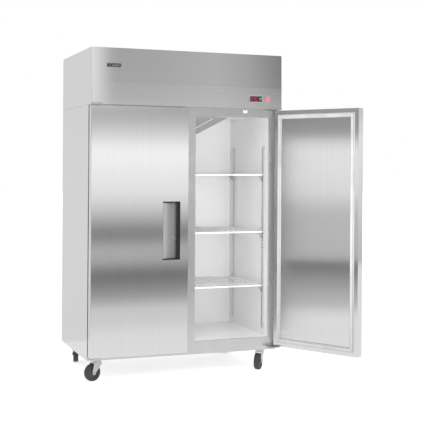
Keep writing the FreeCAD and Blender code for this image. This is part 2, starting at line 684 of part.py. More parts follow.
def door_inner(side):
    panel = leaf_box(f"{side}_inner_sheet", side, "inner_inset", (f"{DOOR_BACK} - sheet_gauge", DOOR_BACK))
    node(at_door(side, group(f"{side}_inner", [panel])), f"{side}_door_inner_panel")
    base = leaf_ring(f"{side}_gasket_base", side, "flange_width", "(flange_width + gasket_width)",
                     (f"{DOOR_BACK} - sheet_gauge", f"{DOOR_BACK} + 2"))
    bulb = leaf_ring(f"{side}_gasket_bulb", side, "bulb_inset", "(bulb_inset + bulb_width)",
                     (f"{DOOR_BACK} + 1", f"{DOOR_BACK} + gasket_height"))
    node(at_door(side, fuse(f"{side}_gasket", [base, bulb])), f"{side}_door_gasket")


def door_handle(side):
    """Moulded recess: a ramp, a deep finger well and an overhanging grip lip."""
    grip = f"{DOOR_IN} + handle_inset"
    far = f"{grip} + handle_width"
    floor = f"{FRONT} + handle_depth - handle_wall"
    profile = (
        (far, FRONT), (f"{far} - ramp_length", floor), (f"{grip} + grip_wall", floor),
        (f"{grip} + grip_wall", f"{FRONT} + grip_drop"), (f"{grip} + grip_width", f"{FRONT} + grip_drop"),
        (f"{grip} + grip_width", f"{FRONT} - grip_proud"), (grip, f"{FRONT} - grip_proud"),
        (grip, f"{FRONT} + handle_depth"), (f"{far} - ramp_length + 4", f"{FRONT} + handle_depth"),
        (far, f"{FRONT} + handle_wall"),
    )
    low = f"{UNDERSIDE} + handle_base"
    tub = padded(f"{side}_handle_tub", "XY_Plane", [(signed(side, x), y) for x, y in profile],
                 "handle_length - 2 * handle_wall", f"{low} + handle_wall")
    caps = []
    for name, z in (("lower", low), ("upper", f"{low} + handle_length - handle_wall")):
        caps.append(box(f"{side}_handle_{name}_cap", mirrored(side, grip, far),
                        (FRONT, f"{FRONT} + handle_depth"), (z, f"{z} + handle_wall")))
    node(at_door(side, fuse(f"{side}_handle", [tub] + caps)), f"{side}_door_handle")


def door_bushes(side):
    bushes = []
    outer = hinge_bores(f"{side}_bush_body", side, "bush_radius", "bush_length")
    inner = hinge_bores(f"{side}_bush_bore", side, "pin_radius + fit_clearance", "pin_length + 1")
    for name, body, bore in zip(("lower", "upper"), outer, inner):
        bushes.append(cut(f"{side}_bush_{name}", body, [bore]))
    node(at_door(side, group(f"{side}_bushes", bushes)), f"{side}_door_bushes")


def hinge_brackets():
    """Per leaf: an arm over it and one under it, each with a leg on the frame and a pin."""
    brackets = []
    outer = f"{HALF} - 1"
    for side in ("left", "right"):
        x = signed(side, HINGE_X)
        for level in ("lower", "upper"):
            if level == "upper":
                arm_low = f"{BODY_TOP} - arm_gauge - 0.3"
                leg = (f"{BODY_TOP} - leg_height", f"{BODY_TOP} - 0.3")
                pin_foot = f"{arm_low} - pin_length + 1"
            else:
                arm_low = f"{DOOR_LOW} - arm_gauge - 1"
                leg = (f"{UNDERSIDE} + 8", f"{UNDERSIDE} + 8 + leg_height")
                pin_foot = f"{arm_low} + arm_gauge"
            arm = box(f"{side}_{level}_arm", mirrored(side, f"{outer} - arm_length", outer),
                      (f"{FRONT} - 2", FACE), (arm_low, f"{arm_low} + arm_gauge"))
            stand = box(f"{side}_{level}_leg", mirrored(side, f"{outer} - leg_width", outer),
                        (f"{FACE} - leg_gauge", FACE), leg)
            pin = rod(f"{side}_{level}_pin", "pin_radius", "pin_length - 1", (x, HINGE_Y, pin_foot))
            members = [arm, stand, pin]
            if level == "upper":
                members.append(box(f"{side}_nose", mirrored(side, f"{outer} - arm_length", outer),
                                   (f"{FRONT} - 4", f"{FRONT} - 1"), (arm_low, f"{arm_low} + 14")))
            brackets.append(fuse(f"{side}_{level}_bracket", members))
    node(group("brackets", brackets), "hinge_brackets")


# ---------------------------------------------------------------- inside

def pilasters():
    """Slotted uprights on the side walls and down the middle, with a clip at each shelf."""
    posts, clips = [], []
    height = (f"{OPENING_LOW} + pilaster_foot", f"{CEILING} - pilaster_head")
    run = value(f"({height[1]}) - ({OPENING_LOW} + slot_foot)")
    count = int(run / value("slot_pitch"))
    for place_name, x0, x1 in (
            ("left", f"-{INNER_X}", f"-({INNER_X} - pilaster_depth)"),
            ("right", f"{INNER_X} - pilaster_depth", INNER_X),
            ("middle", "-pilaster_depth / 2", "pilaster_depth / 2")):
        for depth_name in ("front", "back"):
            y = f"{FRONT} + pilaster_{depth_name}"
            name = f"{place_name}_{depth_name}"
            post = box(f"{name}_post", (x0, x1), (f"{y} - pilaster_width / 2", f"{y} + pilaster_width / 2"),
                       height)
            slots = []
            for step in range(count):
                z = f"{OPENING_LOW} + slot_foot + {step} * slot_pitch"
                slots.append(box(f"{name}_slot_{step}", (f"{x0} - 1", f"{x1} + 1"),
                                 (f"{y} - slot_width / 2", f"{y} + slot_width / 2"),
                                 (z, f"{z} + slot_height")))
            posts.append(cut(f"{name}_upright", post, slots))
            sides = {"left": (("left", x1, 1),), "right": (("right", x0, -1),),
                     "middle": (("left", x0, -1), ("right", x1, 1))}[place_name]
            for bay, root, way in sides:
                for level, rise in SHELF_LEVELS.items():
                    top = f"{UNDERSIDE} + {rise} - shelf_play"
                    clips.append(clip(f"{name}_{bay}_{level}_clip", root, way, y, top))
    node(group("posts", posts), "shelf_pilasters")
    node(group("clips", clips), "shelf_clips")


def clip(name, root, way, y, top):
    """A wedge-shaped bracket: flat on top, tapering down to its post."""
    tip = f"{root} + {way} * clip_reach"
    profile = ((root, top), (tip, top), (tip, f"{top} - clip_tip"), (root, f"{top} - clip_drop"))
    return padded(name, "XZ_Plane", profile, "clip_width", f"-({y} + clip_width / 2)")


def shelf(bay, level):
    """Wire deck: four square bars, front-to-back wires and three cross rods under them."""
    name = f"{bay}_{level}"
    inner_x = f"{INNER_X} - shelf_side_gap"
    outer_x = f"{inner_x} - shelf_width"
    front = f"{FRONT} + shelf_front"
    back = f"{front} + shelf_depth"
    base = f"{UNDERSIDE} + {SHELF_LEVELS[level]}"
    tall = (base, f"{base} + shelf_bar")
    pieces = []
    for end, x in (("near", outer_x), ("far", f"{inner_x} - shelf_bar")):
        pieces.append(box(f"{name}_{end}_bar", mirrored(bay, x, f"{x} + shelf_bar"), (front, back), tall))
    between = mirrored(bay, f"{outer_x} + shelf_bar", f"{inner_x} - shelf_bar")
    for end, y in (("front", front), ("back", f"{back} - shelf_bar")):
        pieces.append(box(f"{name}_{end}_bar", between, (y, f"{y} + shelf_bar"), tall))
    count = int(value("(shelf_width - 2 * shelf_bar) / wire_pitch"))
    for index in range(1, count):
        x = signed(bay, f"{outer_x} + shelf_bar + (shelf_width - 2 * shelf_bar) * {index} / {count}")
        pieces.append(rod(f"{name}_wire_{index}", "wire_radius", "shelf_depth - 2 * shelf_bar",
                          (x, f"{front} + shelf_bar", f"{base} + shelf_bar - wire_radius"), Vector(0, 1, 0)))
    for index in (1, 2, 3):
        y = f"{front} + shelf_depth * {index} / 4"
        pieces.append(rod(f"{name}_brace_{index}", "brace_radius * 0.6", "shelf_width - 2 * shelf_bar",
                          (between[0], y, f"{base} + shelf_bar - 2 * wire_radius - brace_radius * 0.6"),
                          Vector(1, 0, 0)))
    node(group(f"{name}_pieces", pieces), f"{bay}_{level}_shelf")


def evaporator():
    """Sloping drip cover under the ceiling, with a finned coil above it."""
    front = f"{FRONT} + cover_front"
    lip = f"{CEILING} - cover_lip"
    profile = ((front, CEILING), (front, lip), (INNER_BACK, f"{lip} - cover_fall"), (INNER_BACK, CEILING))
    shell = padded("cover_block", "YZ_Plane", profile, "2 * cover_half", "-cover_half")
    inner = f"{front} + cover_gauge"
    inside = ((inner, f"{CEILING} + 1"), (inner, f"{lip} + cover_gauge"),
              (f"{INNER_BACK} + 1", f"{lip} - cover_fall + cover_gauge"),
              (f"{INNER_BACK} + 1", f"{CEILING} + 1"))
    hollow = padded("cover_hollow", "YZ_Plane", inside, "2 * (cover_half - cover_gauge)",
                    "-(cover_half - cover_gauge)")
    fan_y = f"{front} + cold_fan_setback"
    through = f"{lip} - cover_fall - 15"
    ports = []
    for ring in range(3):
        edge = f"cold_fan_radius + port_margin - {ring} * port_pitch"
        outer = rod(f"cover_port_{ring}", edge, "cover_fall + 30", ("0", fan_y, through))
        inner_web = rod(f"cover_web_{ring}", f"{edge} - port_band", "cover_fall + 30", ("0", fan_y, through))
        ports.append(cut(f"cover_port_ring_{ring}", outer, [inner_web]))
    reach = "cold_fan_radius + 2 * port_margin"
    bars = [box("cover_spoke_x", (f"-({reach})", reach), (f"{fan_y} - spoke_half", f"{fan_y} + spoke_half"),
                (through, CEILING)),
            box("cover_spoke_y", ("-spoke_half", "spoke_half"),
                (f"{fan_y} - ({reach})", f"{fan_y} + {reach}"), (through, CEILING))]
    grille = cut("cover_grille", group("cover_ports", ports), bars)
    node(cut("cover_shell", cut("cover_open", shell, [hollow]), [grille]), "evaporator_cover")
    evaporator_coil()
    fan("evaporator_fan", "cold_fan_radius", 16, (0, value(fan_y), value(f"{CEILING} - 20")), UP, 5)


def evaporator_coil():
    low, high = f"{CEILING} - coil_low", f"{CEILING} - coil_high"
    stop = f"{INNER_BACK} - coil_back_gap"
    start = f"{stop} - coil_depth"
    tubes = []
    for across in range(5):
        for level in range(2):
            y = f"{start} + 20 + {across} * 32"
            z = f"{low} + 16 + {level} * 30"
            tubes.append(rod(f"coil_tube_{across}_{level}", "coil_tube_radius", "coil_tube_length",
                             ("-coil_tube_length / 2", y, z), Vector(1, 0, 0)))
    fins = []
    for index in range(22):
        x = f"{index - 10.5} * coil_fin_pitch"
        fins.append(box(f"coil_fin_{index}", (x, f"{x} + 1"), (start, stop), (low, high)))
    drilled = cut("coil_fins_drilled", group("coil_fins", fins), [group("coil_drills", tubes)])
    node(group("coil", [drilled] + tubes), "evaporator_coil")


def fan(name, radius, thickness, centre, axis, count):
    """An axial rotor: hub and pitched blades."""
    hub = doc.addObject("Part::Cylinder", name + "_hub")
    drive(hub, "Radius", f"{radius} * 0.28")
    drive(hub, "Height", thickness)
    hub.Placement = Placement(Vector(0, 0, -thickness / 2), Rotation())
    pieces = [hub]
    for index in range(count):
        blade = doc.addObject("Part::Box", f"{name}_blade_{index}")
        drive(blade, "Length", f"{radius} * 0.75")
        drive(blade, "Width", f"{radius} * 0.45")
        drive(blade, "Height", 1.6)
        pitch = Placement(Vector(), Rotation(Vector(1, 0, 0), 20))
        shift = Placement(Vector(value(f"{radius} * 0.22"), -value(f"{radius} * 0.225"), -0.8), Rotation())
        turn = Placement(Vector(), Rotation(UP, 360.0 * index / count))
        blade.Placement = turn.multiply(pitch).multiply(shift)
        pieces.append(blade)
    rotor = fuse(name + "_rotor", pieces)
    rotor.Placement = Placement(Vector(*centre), Rotation(UP, axis))
    node(rotor, name)


# ---------------------------------------------------------------- machine compartment

def compressor(deck):
    """Domed steel pot with a seam band, on a base plate with four rubber mounts."""
    pot = doc.addObject("PartDesign::Body", "compressor_pot")
    sketch = new_sketch(pot, "compressor_profile", "XZ_Plane")
    profile = ((0, 12), (62, 12), (82, 30), (82, 105), (88, 106), (88, 112), (80, 113), (74, 160), (48, 188),
               (0, 194))
    outline(sketch, [(f"{radius}", f"{deck} + {rise}") for radius, rise in profile])
    spin = pot.newObject("PartDesign::Revolution", "compressor_revolution")
    spin.Profile = sketch
    spin.ReferenceAxis = (sketch, ["V_Axis"])
    spin.Angle = 360.0
    doc.recompute()
    drive(pot, "Placement.Base.x", "compressor_x")
    drive(pot, "Placement.Base.y", "compressor_y")
    foot = box("compressor_foot", ("compressor_x - 110", "compressor_x + 110"),
               ("compressor_y - 80", "compressor_y + 80"),
               (f"{deck} + mount_height", f"{deck} + mount_height + foot_gauge"))
    mounts = [rod(f"compressor_mount_{x_way}_{y_way}", "12", "mount_height",
                  (f"compressor_x + {x_way} * 90", f"compressor_y + {y_way} * 60", deck))
              for x_way, y_way in ((-1, -1), (1, -1), (-1, 1), (1, 1))]
    node(group("compressor_pieces", [pot, foot] + mounts), "compressor")


def condenser(deck):
    """Finned coil behind a shroud plate with the fan's round mouth."""
    base = f"{deck} + condenser_lift"
    fins = []
    for index in range(26):
        x = f"-condenser_left + {index} * condenser_fin_pitch"
        fins.append(box(f"condenser_fin_{index}", (x, f"{x} + 1"),
                        ("condenser_front", "condenser_front + condenser_depth"),
                        (base, f"{base} + condenser_tall")))
    tubes = []
    for row in range(2):
        for level in range(8):
            foot = ("-condenser_left - 8", f"condenser_front + 22 + {row} * 30", f"{base} + 23 + {level} * 30")
            tubes.append(rod(f"condenser_tube_{row}_{level}", "condenser_tube_radius", "condenser_tube_length",
                             foot, Vector(1, 0, 0)))
    drilled = cut("condenser_drilled", group("condenser_fins", fins), [group("condenser_drills", tubes)])
    plate = box("shroud_plate", ("-warm_fan_x - 164", "-warm_fan_x + 164"),
                ("shroud_front", "shroud_front + shroud_gauge"), (deck, f"{deck} + shroud_height"))
    mouth = rod("shroud_mouth", "warm_fan_radius + 5", "20",
                ("-warm_fan_x", "shroud_front - 7", f"{deck} + warm_fan_rise"), Vector(0, 1, 0))
    node(group("condenser_pieces", [drilled] + tubes + [cut("shroud", plate, [mouth])]), "condenser")
    centre = (value("-warm_fan_x"), value("warm_fan_y"), value(f"{deck} + warm_fan_rise"))
    fan("condenser_fan", "warm_fan_radius", 26, centre, Vector(0, 1, 0), 5)


def electrical_box(deck):
    """Lidded box in the machine compartment, and the power gland through the rear grille."""
    lid_low = f"{deck} + electrical_height"
    case = box("electrical_case", ("390", "560"), ("120", "300"), (deck, lid_low))
    lid = box("electrical_lid", ("390 - lid_lap", "560 + lid_lap"), ("120 - lid_lap", "300 + lid_lap"),
              (lid_low, f"{lid_low} + 2 * lid_lap"))
    inlet = ("inlet_x", f"{BODY_TOP} + inlet_rise")
    along = Vector(0, 1, 0)
    throat = rod("gland_throat", "gland_radius", "26", (inlet[0], f"{BACK} - 18", inlet[1]), along)
    flange = rod("gland_flange", "gland_flange_radius", "6", (inlet[0], BACK, inlet[1]), along)
    bore = rod("gland_bore", "gland_bore_radius", "60", (inlet[0], f"{BACK} - 30", inlet[1]), along)
    gland = cut("gland", fuse("gland_body", [throat, flange]), [bore])
    node(group("electrical_pieces", [fuse("electrical_shell", [case, lid]), gland]), "electrical_box")


def pipe(points, radius, bend):
    """Straight runs joined by round bends, swept with a round section."""
    corners = [Vector(*p) for p in points]
    edges = []
    start = corners[0]
    for before, corner, after in zip(corners, corners[1:], corners[2:]):
        into = (corner - before).normalize()
        out = (after - corner).normalize()
        turn = into.getAngle(out)
        reach = bend * math.tan(turn / 2)
        first = corner - into * reach
        last = corner + out * reach
        inward = (out - into).normalize()
        middle = corner + inward * (bend / math.cos(turn / 2) - bend)
        edges.append(Part.LineSegment(start, first).toShape())
        edges.append(Part.Arc(first, middle, last).toShape())
        start = last
    edges.append(Part.LineSegment(start, corners[-1]).toShape())
    spine = Part.Wire(edges)
    heading = (corners[1] - corners[0]).normalize()
    section = Part.Wire([Part.Circle(corners[0], heading, radius).toShape()])
    return spine.makePipeShell([section], True, True)


def refrigerant_lines(floor):
    """Discharge, liquid and suction lines of the condensing unit."""
    runs = (
        ([(98, 60, floor + 70), (20, 60, floor + 70), (20, 60, floor + 290), (-60, 60, floor + 290),
          (-60, 307, floor + 290), (-60, 307, floor + 245), (-82, 307, floor + 245)], 4.0, 14.0),
        ([(-82, 307, floor + 35), (-40, 307, floor + 35), (-40, 307, floor)], 3.2, 14.0),
        ([(262, 60, floor + 60), (330, 60, floor + 60), (330, 60, floor)], 5.5, 18.0),
    )
    lines = []
    for index, (points, radius, bend) in enumerate(runs):
        line = doc.addObject("Part::Feature", f"refrigerant_line_{index}")
        line.Shape = pipe(points, radius, bend)
        lines.append(line)
    node(group("lines", lines), "refrigerant_lines")


# ---------------------------------------------------------------- casters

def caster_spots():
    x = value(f"{HALF} - caster_inset")
    front = value(f"{FRONT} + caster_front")
    back = value(f"{FRONT} + caster_back")
    return {
        "front_left": (-x, front),
        "front_right": (x, front),
        "rear_left": (-x, back),
        "rear_right": (x, back),
    }


def caster(corner, spot, heading):
    """Fork with its axle, and the wheel, turned together about the swivel."""
    there = Placement(Vector(spot[0], spot[1], 0), Rotation(UP, heading))
    fork = caster_fork(corner)
    fork.Placement = there
    node(fork, f"{corner}_fork")
    wheel = group(f"{corner}_wheel_pieces", caster_wheel(corner))
    axle = Placement(Vector(value("caster_trail"), 0, value("wheel_radius")), Rotation())
    wheel.Placement = there.multiply(axle)
    node(wheel, f"{corner}_wheel")


def caster_fork(corner):
    """Crown with a ball race, two tapering cheeks, and the axle bolt with its head and nut."""
    cheek_in = "wheel_width / 2 + fork_gap"
    cheek_out = f"{cheek_in} + fork_gauge"
    crown = f"{UNDERSIDE} - crown_drop"
    profile = (("-crown_back", f"{crown} + fork_gauge"), ("crown_front", f"{crown} + fork_gauge"),
               ("caster_trail + 13", "wheel_radius + 8"), ("caster_trail + 11", "wheel_radius - 8"),
               ("caster_trail + 4", "wheel_radius - 13"), ("caster_trail - 6", "wheel_radius - 12"),
               ("caster_trail - 13", "wheel_radius + 2"), ("-crown_back", f"{crown} - 4"))
    pieces = []
    for name, start in (("near", f"-({cheek_out})"), ("far", cheek_in)):
        pieces.append(padded(f"{corner}_{name}_cheek", "XZ_Plane", profile, "fork_gauge", start))
    bridge = box(f"{corner}_crown", ("-crown_back", "crown_front"), (f"-({cheek_out})", cheek_out),
                 (crown, f"{crown} + fork_gauge"))
    race = rod(f"{corner}_race", "27", "9", ("0", "0", f"{crown} + fork_gauge"))
    axle = rod(f"{corner}_axle", "axle_radius", f"2 * ({cheek_out})",
               ("caster_trail", f"-({cheek_out})", "wheel_radius"), Vector(0, 1, 0))
    pieces += [bridge, race, axle]
    for name, y in (("head", f"-({cheek_out}) - 4"), ("nut", cheek_out)):
        nut = doc.addObject("Part::Prism", f"{corner}_axle_{name}")
        nut.Polygon = 6
        drive(nut, "Circumradius", "7")
        drive(nut, "Height", "4")
        nut.Placement = Placement(Vector(), Rotation(UP, Vector(0, 1, 0)))
        place(nut, "caster_trail", y, "wheel_radius")
        pieces.append(nut)
    solid = fuse(f"{corner}_fork_solid", pieces)
    bore = rod(f"{corner}_king_bore", "king_radius + fit_clearance", "14", ("0", "0", f"{crown} - 1"))
    return cut(f"{corner}_fork", solid, [bore])


def ringed(name, points):
    """A body turned about the wheel's axle from half a profile, the other half mirrored."""
    body = doc.addObject("PartDesign::Body", name)
    sketch = new_sketch(body, f"{name}_profile", "YZ_Plane")
    mirror = [(f"-({along})", radius) for along, radius in reversed(points)]
    outline(sketch, list(points) + mirror)
    ring = body.newObject("PartDesign::Revolution", f"{name}_ring")
    ring.Profile = sketch
    ring.ReferenceAxis = (sketch, ["H_Axis"])
    ring.Angle = 360.0
    doc.recompute()
    return body


def caster_wheel(corner):
    half = "wheel_width / 2"
    seat = "wheel_radius - tyre_depth"
    hub_end = f"{half} + hub_proud"
    tyre = ringed(f"{corner}_tyre", (
        (half, seat), (half, "wheel_radius - 4"), (f"{half} - 2", "wheel_radius - 1.5"),
        (f"{half} - 6", "wheel_radius")))
    hub = ringed(f"{corner}_hub", (
        (hub_end, "axle_radius + fit_clearance"), (hub_end, "11"), (f"{half} - 4", "13"),
        (f"{half} - 6", f"{seat} - 6"), (half, f"{seat} - 3"), (half, seat)))
    return [tyre, hub]


def casters():
    plates = []
    for corner, spot in caster_spots().items():
        x, y = (str(c) for c in spot)
        plate = box(f"{corner}_plate", (f"{x} - plate_half_length", f"{x} + plate_half_length"),
                    (f"{y} - plate_half_depth", f"{y} + plate_half_depth"),
                    (f"{UNDERSIDE} - plate_gauge", UNDERSIDE))
        race = rod(f"{corner}_top_race", "24", "9.7", (x, y, f"{UNDERSIDE} - 13.7"))
        king = rod(f"{corner}_kingpin", "king_radius", "20", (x, y, f"{UNDERSIDE} - 25"))
        plates.append(fuse(f"{corner}_top_plate", [plate, race, king]))
        caster(corner, spot, CASTER_HEADINGS[corner])
    node(group("top_plates", plates), "caster_plates")


# ---------------------------------------------------------------- assembly

def build():
    for side in ("left", "right"):
        side_panel(side)
    outer_sheets()
    front_frame()
    liner_and_foam()
    header_front()
    header_back()
    badge()
    controls()
    door_switches()
    for side in ("left", "right"):
        door_skin(side)
        door_core(side)
        door_inner(side)
        door_handle(side)
        door_bushes(side)
    hinge_brackets()
    pilasters()
    for bay in ("left", "right"):
        for level in SHELF_LEVELS:
            shelf(bay, level)
    evaporator()
    deck = f"{BODY_TOP} + sheet_gauge"
    compressor(deck)
    condenser(deck)
    electrical_box(deck)
    refrigerant_lines(value(deck))
    casters()
    doc.recompute()


def check():
    """Stop on any failed object or bad shape before anything is written."""
    for obj in doc.Objects:
        if "Invalid" in obj.State or "Error" in obj.State:
            raise RuntimeError(f"{obj.Name} failed to recompute: {obj.State}")
    for obj in NODES:
        if obj.Shape.isNull() or not obj.Shape.isValid():
            raise RuntimeError(f"{obj.Label} has no valid shape")
    labels = [obj.Label for obj in NODES]
    if len(set(labels)) != len(labels):
        raise RuntimeError("two sub-parts share a name")


def export():
    os.makedirs("parts", exist_ok=True)
    for obj in NODES:
        obj.Shape.exportStep(os.path.join("parts", obj.Label + ".step"))
    print(len(NODES), "sub-parts")


build()
check()
export()
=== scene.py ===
import json
import math

import bmesh
import bpy
from mathutils import Matrix, Vector


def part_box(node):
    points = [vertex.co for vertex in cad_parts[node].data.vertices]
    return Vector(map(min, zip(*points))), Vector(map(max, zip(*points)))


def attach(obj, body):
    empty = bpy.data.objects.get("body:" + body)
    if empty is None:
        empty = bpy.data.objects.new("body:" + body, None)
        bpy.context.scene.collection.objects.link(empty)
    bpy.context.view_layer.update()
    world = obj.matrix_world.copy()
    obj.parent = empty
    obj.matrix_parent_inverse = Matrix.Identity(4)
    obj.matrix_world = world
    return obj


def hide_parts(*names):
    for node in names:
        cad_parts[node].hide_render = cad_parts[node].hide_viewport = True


# Looks of a two-door reach-in refrigerator: brushed stainless doors and header, a satin
# lined inside with coated wire shelves, and swivel casters.  Metres, +Z up, doors to -Y.

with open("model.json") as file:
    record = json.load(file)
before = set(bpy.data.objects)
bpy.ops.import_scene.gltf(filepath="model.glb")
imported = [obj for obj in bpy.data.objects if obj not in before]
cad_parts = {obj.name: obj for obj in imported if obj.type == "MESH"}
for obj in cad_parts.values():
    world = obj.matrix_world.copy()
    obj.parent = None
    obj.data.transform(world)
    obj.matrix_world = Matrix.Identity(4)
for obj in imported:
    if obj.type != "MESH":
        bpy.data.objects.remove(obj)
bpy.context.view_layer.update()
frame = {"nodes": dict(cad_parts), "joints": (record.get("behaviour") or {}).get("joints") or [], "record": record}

JOINTS = {joint["name"]: joint for joint in frame["joints"]}
SLOT_OF = {part["node"]: part["material_slot"] for part in frame["record"]["subparts"]}
SIDES = ("left", "right")
CORNERS = ("front_left", "front_right", "rear_left", "rear_right")
UP = Vector((0, 0, 1))

# The header's front stands upright for the first height, then leans back to its top.
CREASE_RISE = 0.127
HEADER_LEAN = 0.004


# ---------------------------------------------------------------- mesh helpers

def put(name, data):
    """A new object in the scene."""
    obj = bpy.data.objects.new(name, data)
    bpy.context.scene.collection.objects.link(obj)
    return obj


class Shape:
    """A mesh under construction.  Points are in the row frame unless it is moved later."""

    def __init__(self):
        self.bm = bmesh.new()

    def prism(self, outline, lift):
        """A closed flat outline, pushed along the lift vector."""
        low = [self.bm.verts.new(point) for point in outline]
        high = [self.bm.verts.new(Vector(point) + Vector(lift)) for point in outline]
        self.bm.faces.new(low)
        self.bm.faces.new(reversed(high))
        for index, corner in enumerate(low):
            after = (index + 1) % len(low)
            self.bm.faces.new((corner, high[index], high[after], low[after]))

    def block(self, low, high):
        (x0, y0, z0), (x1, y1, z1) = low, high
        self.prism(((x0, y0, z0), (x1, y0, z0), (x1, y1, z0), (x0, y1, z0)), (0, 0, z1 - z0))

    def turned(self, profile, foot, axis, steps=48):
        """A profile of (radius, distance along the axis), turned; zero radii close its ends."""
        turn = Vector(axis).to_track_quat("Z", "Y")
        rings = []
        for radius, along in profile:
            if radius == 0:
                rings.append([self.bm.verts.new(Vector(foot) + turn @ Vector((0, 0, along)))])
                continue
            ring = []
            for step in range(steps):
                angle = 2 * math.pi * step / steps
                around = Vector((radius * math.cos(angle), radius * math.sin(angle), along))
                ring.append(self.bm.verts.new(Vector(foot) + turn @ around))
            rings.append(ring)
        if len(rings[0]) > 1:
            rings.append(rings[0])
        for lower, upper in zip(rings, rings[1:]):
            for step in range(steps):
                after = (step + 1) % steps
                corners = [lower[step % len(lower)], lower[after % len(lower)],
                           upper[after % len(upper)], upper[step % len(upper)]]
                self.bm.faces.new(dict.fromkeys(corners))

    def tube(self, points, radius, steps=8, closed=False):
        """A round wire through the points."""
        points = [Vector(point) for point in points]
        rings = []
        for index, point in enumerate(points):
            before = points[index - 1] if index or closed else point
            has_next = closed or index + 1 < len(points)
            after = points[(index + 1) % len(points)] if has_next else point
            turn = (after - before).to_track_quat("Z", "Y")
            rings.append([self.bm.verts.new(point + turn @ Vector((
                radius * math.cos(2 * math.pi * step / steps),
                radius * math.sin(2 * math.pi * step / steps), 0))) for step in range(steps)])
        pairs = list(zip(rings, rings[1:]))
        if closed:
            pairs.append((rings[-1], rings[0]))
        else:
            self.bm.faces.new(reversed(rings[0]))
            self.bm.faces.new(rings[-1])
        for lower, upper in pairs:
            shift = 0
            if closed:
                shift = min(range(steps), key=lambda s: (upper[s].co - lower[0].co).length)
            for step in range(steps):
                after = (step + 1) % steps
                self.bm.faces.new((lower[step], lower[after], upper[(after + shift) % steps],
                                   upper[(step + shift) % steps]))

    def plate(self, xs, zs, y_front, y_back, is_hole):
        """An upright plate on a grid of cuts in x and z, left open where is_hole(x, z) says so."""
        open_cell = {(i, j): is_hole((xs[i] + xs[i + 1]) / 2, (zs[j] + zs[j + 1]) / 2)
                     for i in range(len(xs) - 1) for j in range(len(zs) - 1)}
        corners = {}

        def corner(i, j, y):
            if (i, j, y) not in corners:
                corners[i, j, y] = self.bm.verts.new((xs[i], y, zs[j]))
            return corners[i, j, y]

        for (i, j), is_open in open_cell.items():
            if is_open:
                continue
            cell = ((i, j), (i + 1, j), (i + 1, j + 1), (i, j + 1))
            for y in (y_front, y_back):
                self.bm.faces.new([corner(a, b, y) for a, b in cell])
            rims = {
                (-1, 0): ((i, j), (i, j + 1)), (1, 0): ((i + 1, j), (i + 1, j + 1)),
                (0, -1): ((i, j), (i + 1, j)), (0, 1): ((i, j + 1), (i + 1, j + 1)),
            }
            for (di, dj), (a, b) in rims.items():
                if open_cell.get((i + di, j + dj), True):
                    self.bm.faces.new((corner(*a, y_front), corner(*b, y_front),
                                       corner(*b, y_back), corner(*a, y_back)))
        bmesh.ops.dissolve_limit(self.bm, angle_limit=0.01, verts=self.bm.verts,
                                 edges=self.bm.edges)

    def move(self, matrix):
        self.bm.transform(matrix)

    def piece(self, name, material, body, slot, bevel=0.0):
        """Finishes the mesh as a piece that rides on a body."""
        bmesh.ops.recalc_face_normals(self.bm, faces=self.bm.faces)
        mesh = bpy.data.meshes.new(name)
        self.bm.to_mesh(mesh)
        self.bm.free()
        mesh.polygons.foreach_set("use_smooth", [True] * len(mesh.polygons))
        mesh.set_sharp_from_angle(angle=math.radians(35))
        mesh.materials.append(material)
        obj = put(name, mesh)
        if bevel:
            rounding = obj.modifiers.new("rounding", "BEVEL")
            rounding.width = bevel
            rounding.segments = 2
            rounding.limit_method = "ANGLE"
            rounding.angle_limit = math.radians(40)
            rounding.harden_normals = True
        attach(obj, body)
        return obj


def islands(node):
    """Lowest and highest corner of each separate solid in a CAD node."""
    bm = bmesh.new()
    bm.from_mesh(frame["nodes"][node].data)
    bmesh.ops.remove_doubles(bm, verts=bm.verts, dist=1e-6)
    seen, boxes = set(), []
    for start in bm.verts:
        if start in seen:
            continue
        seen.add(start)
        members, waiting = [], [start]
        while waiting:
            vert = waiting.pop()
            members.append(vert.co.copy())
            for edge in vert.link_edges:
                other = edge.other_vert(vert)
                if other not in seen:
                    seen.add(other)
                    waiting.append(other)
        boxes.append((Vector(map(min, zip(*members))), Vector(map(max, zip(*members)))))
    bm.free()
    return boxes


# ---------------------------------------------------------------- materials

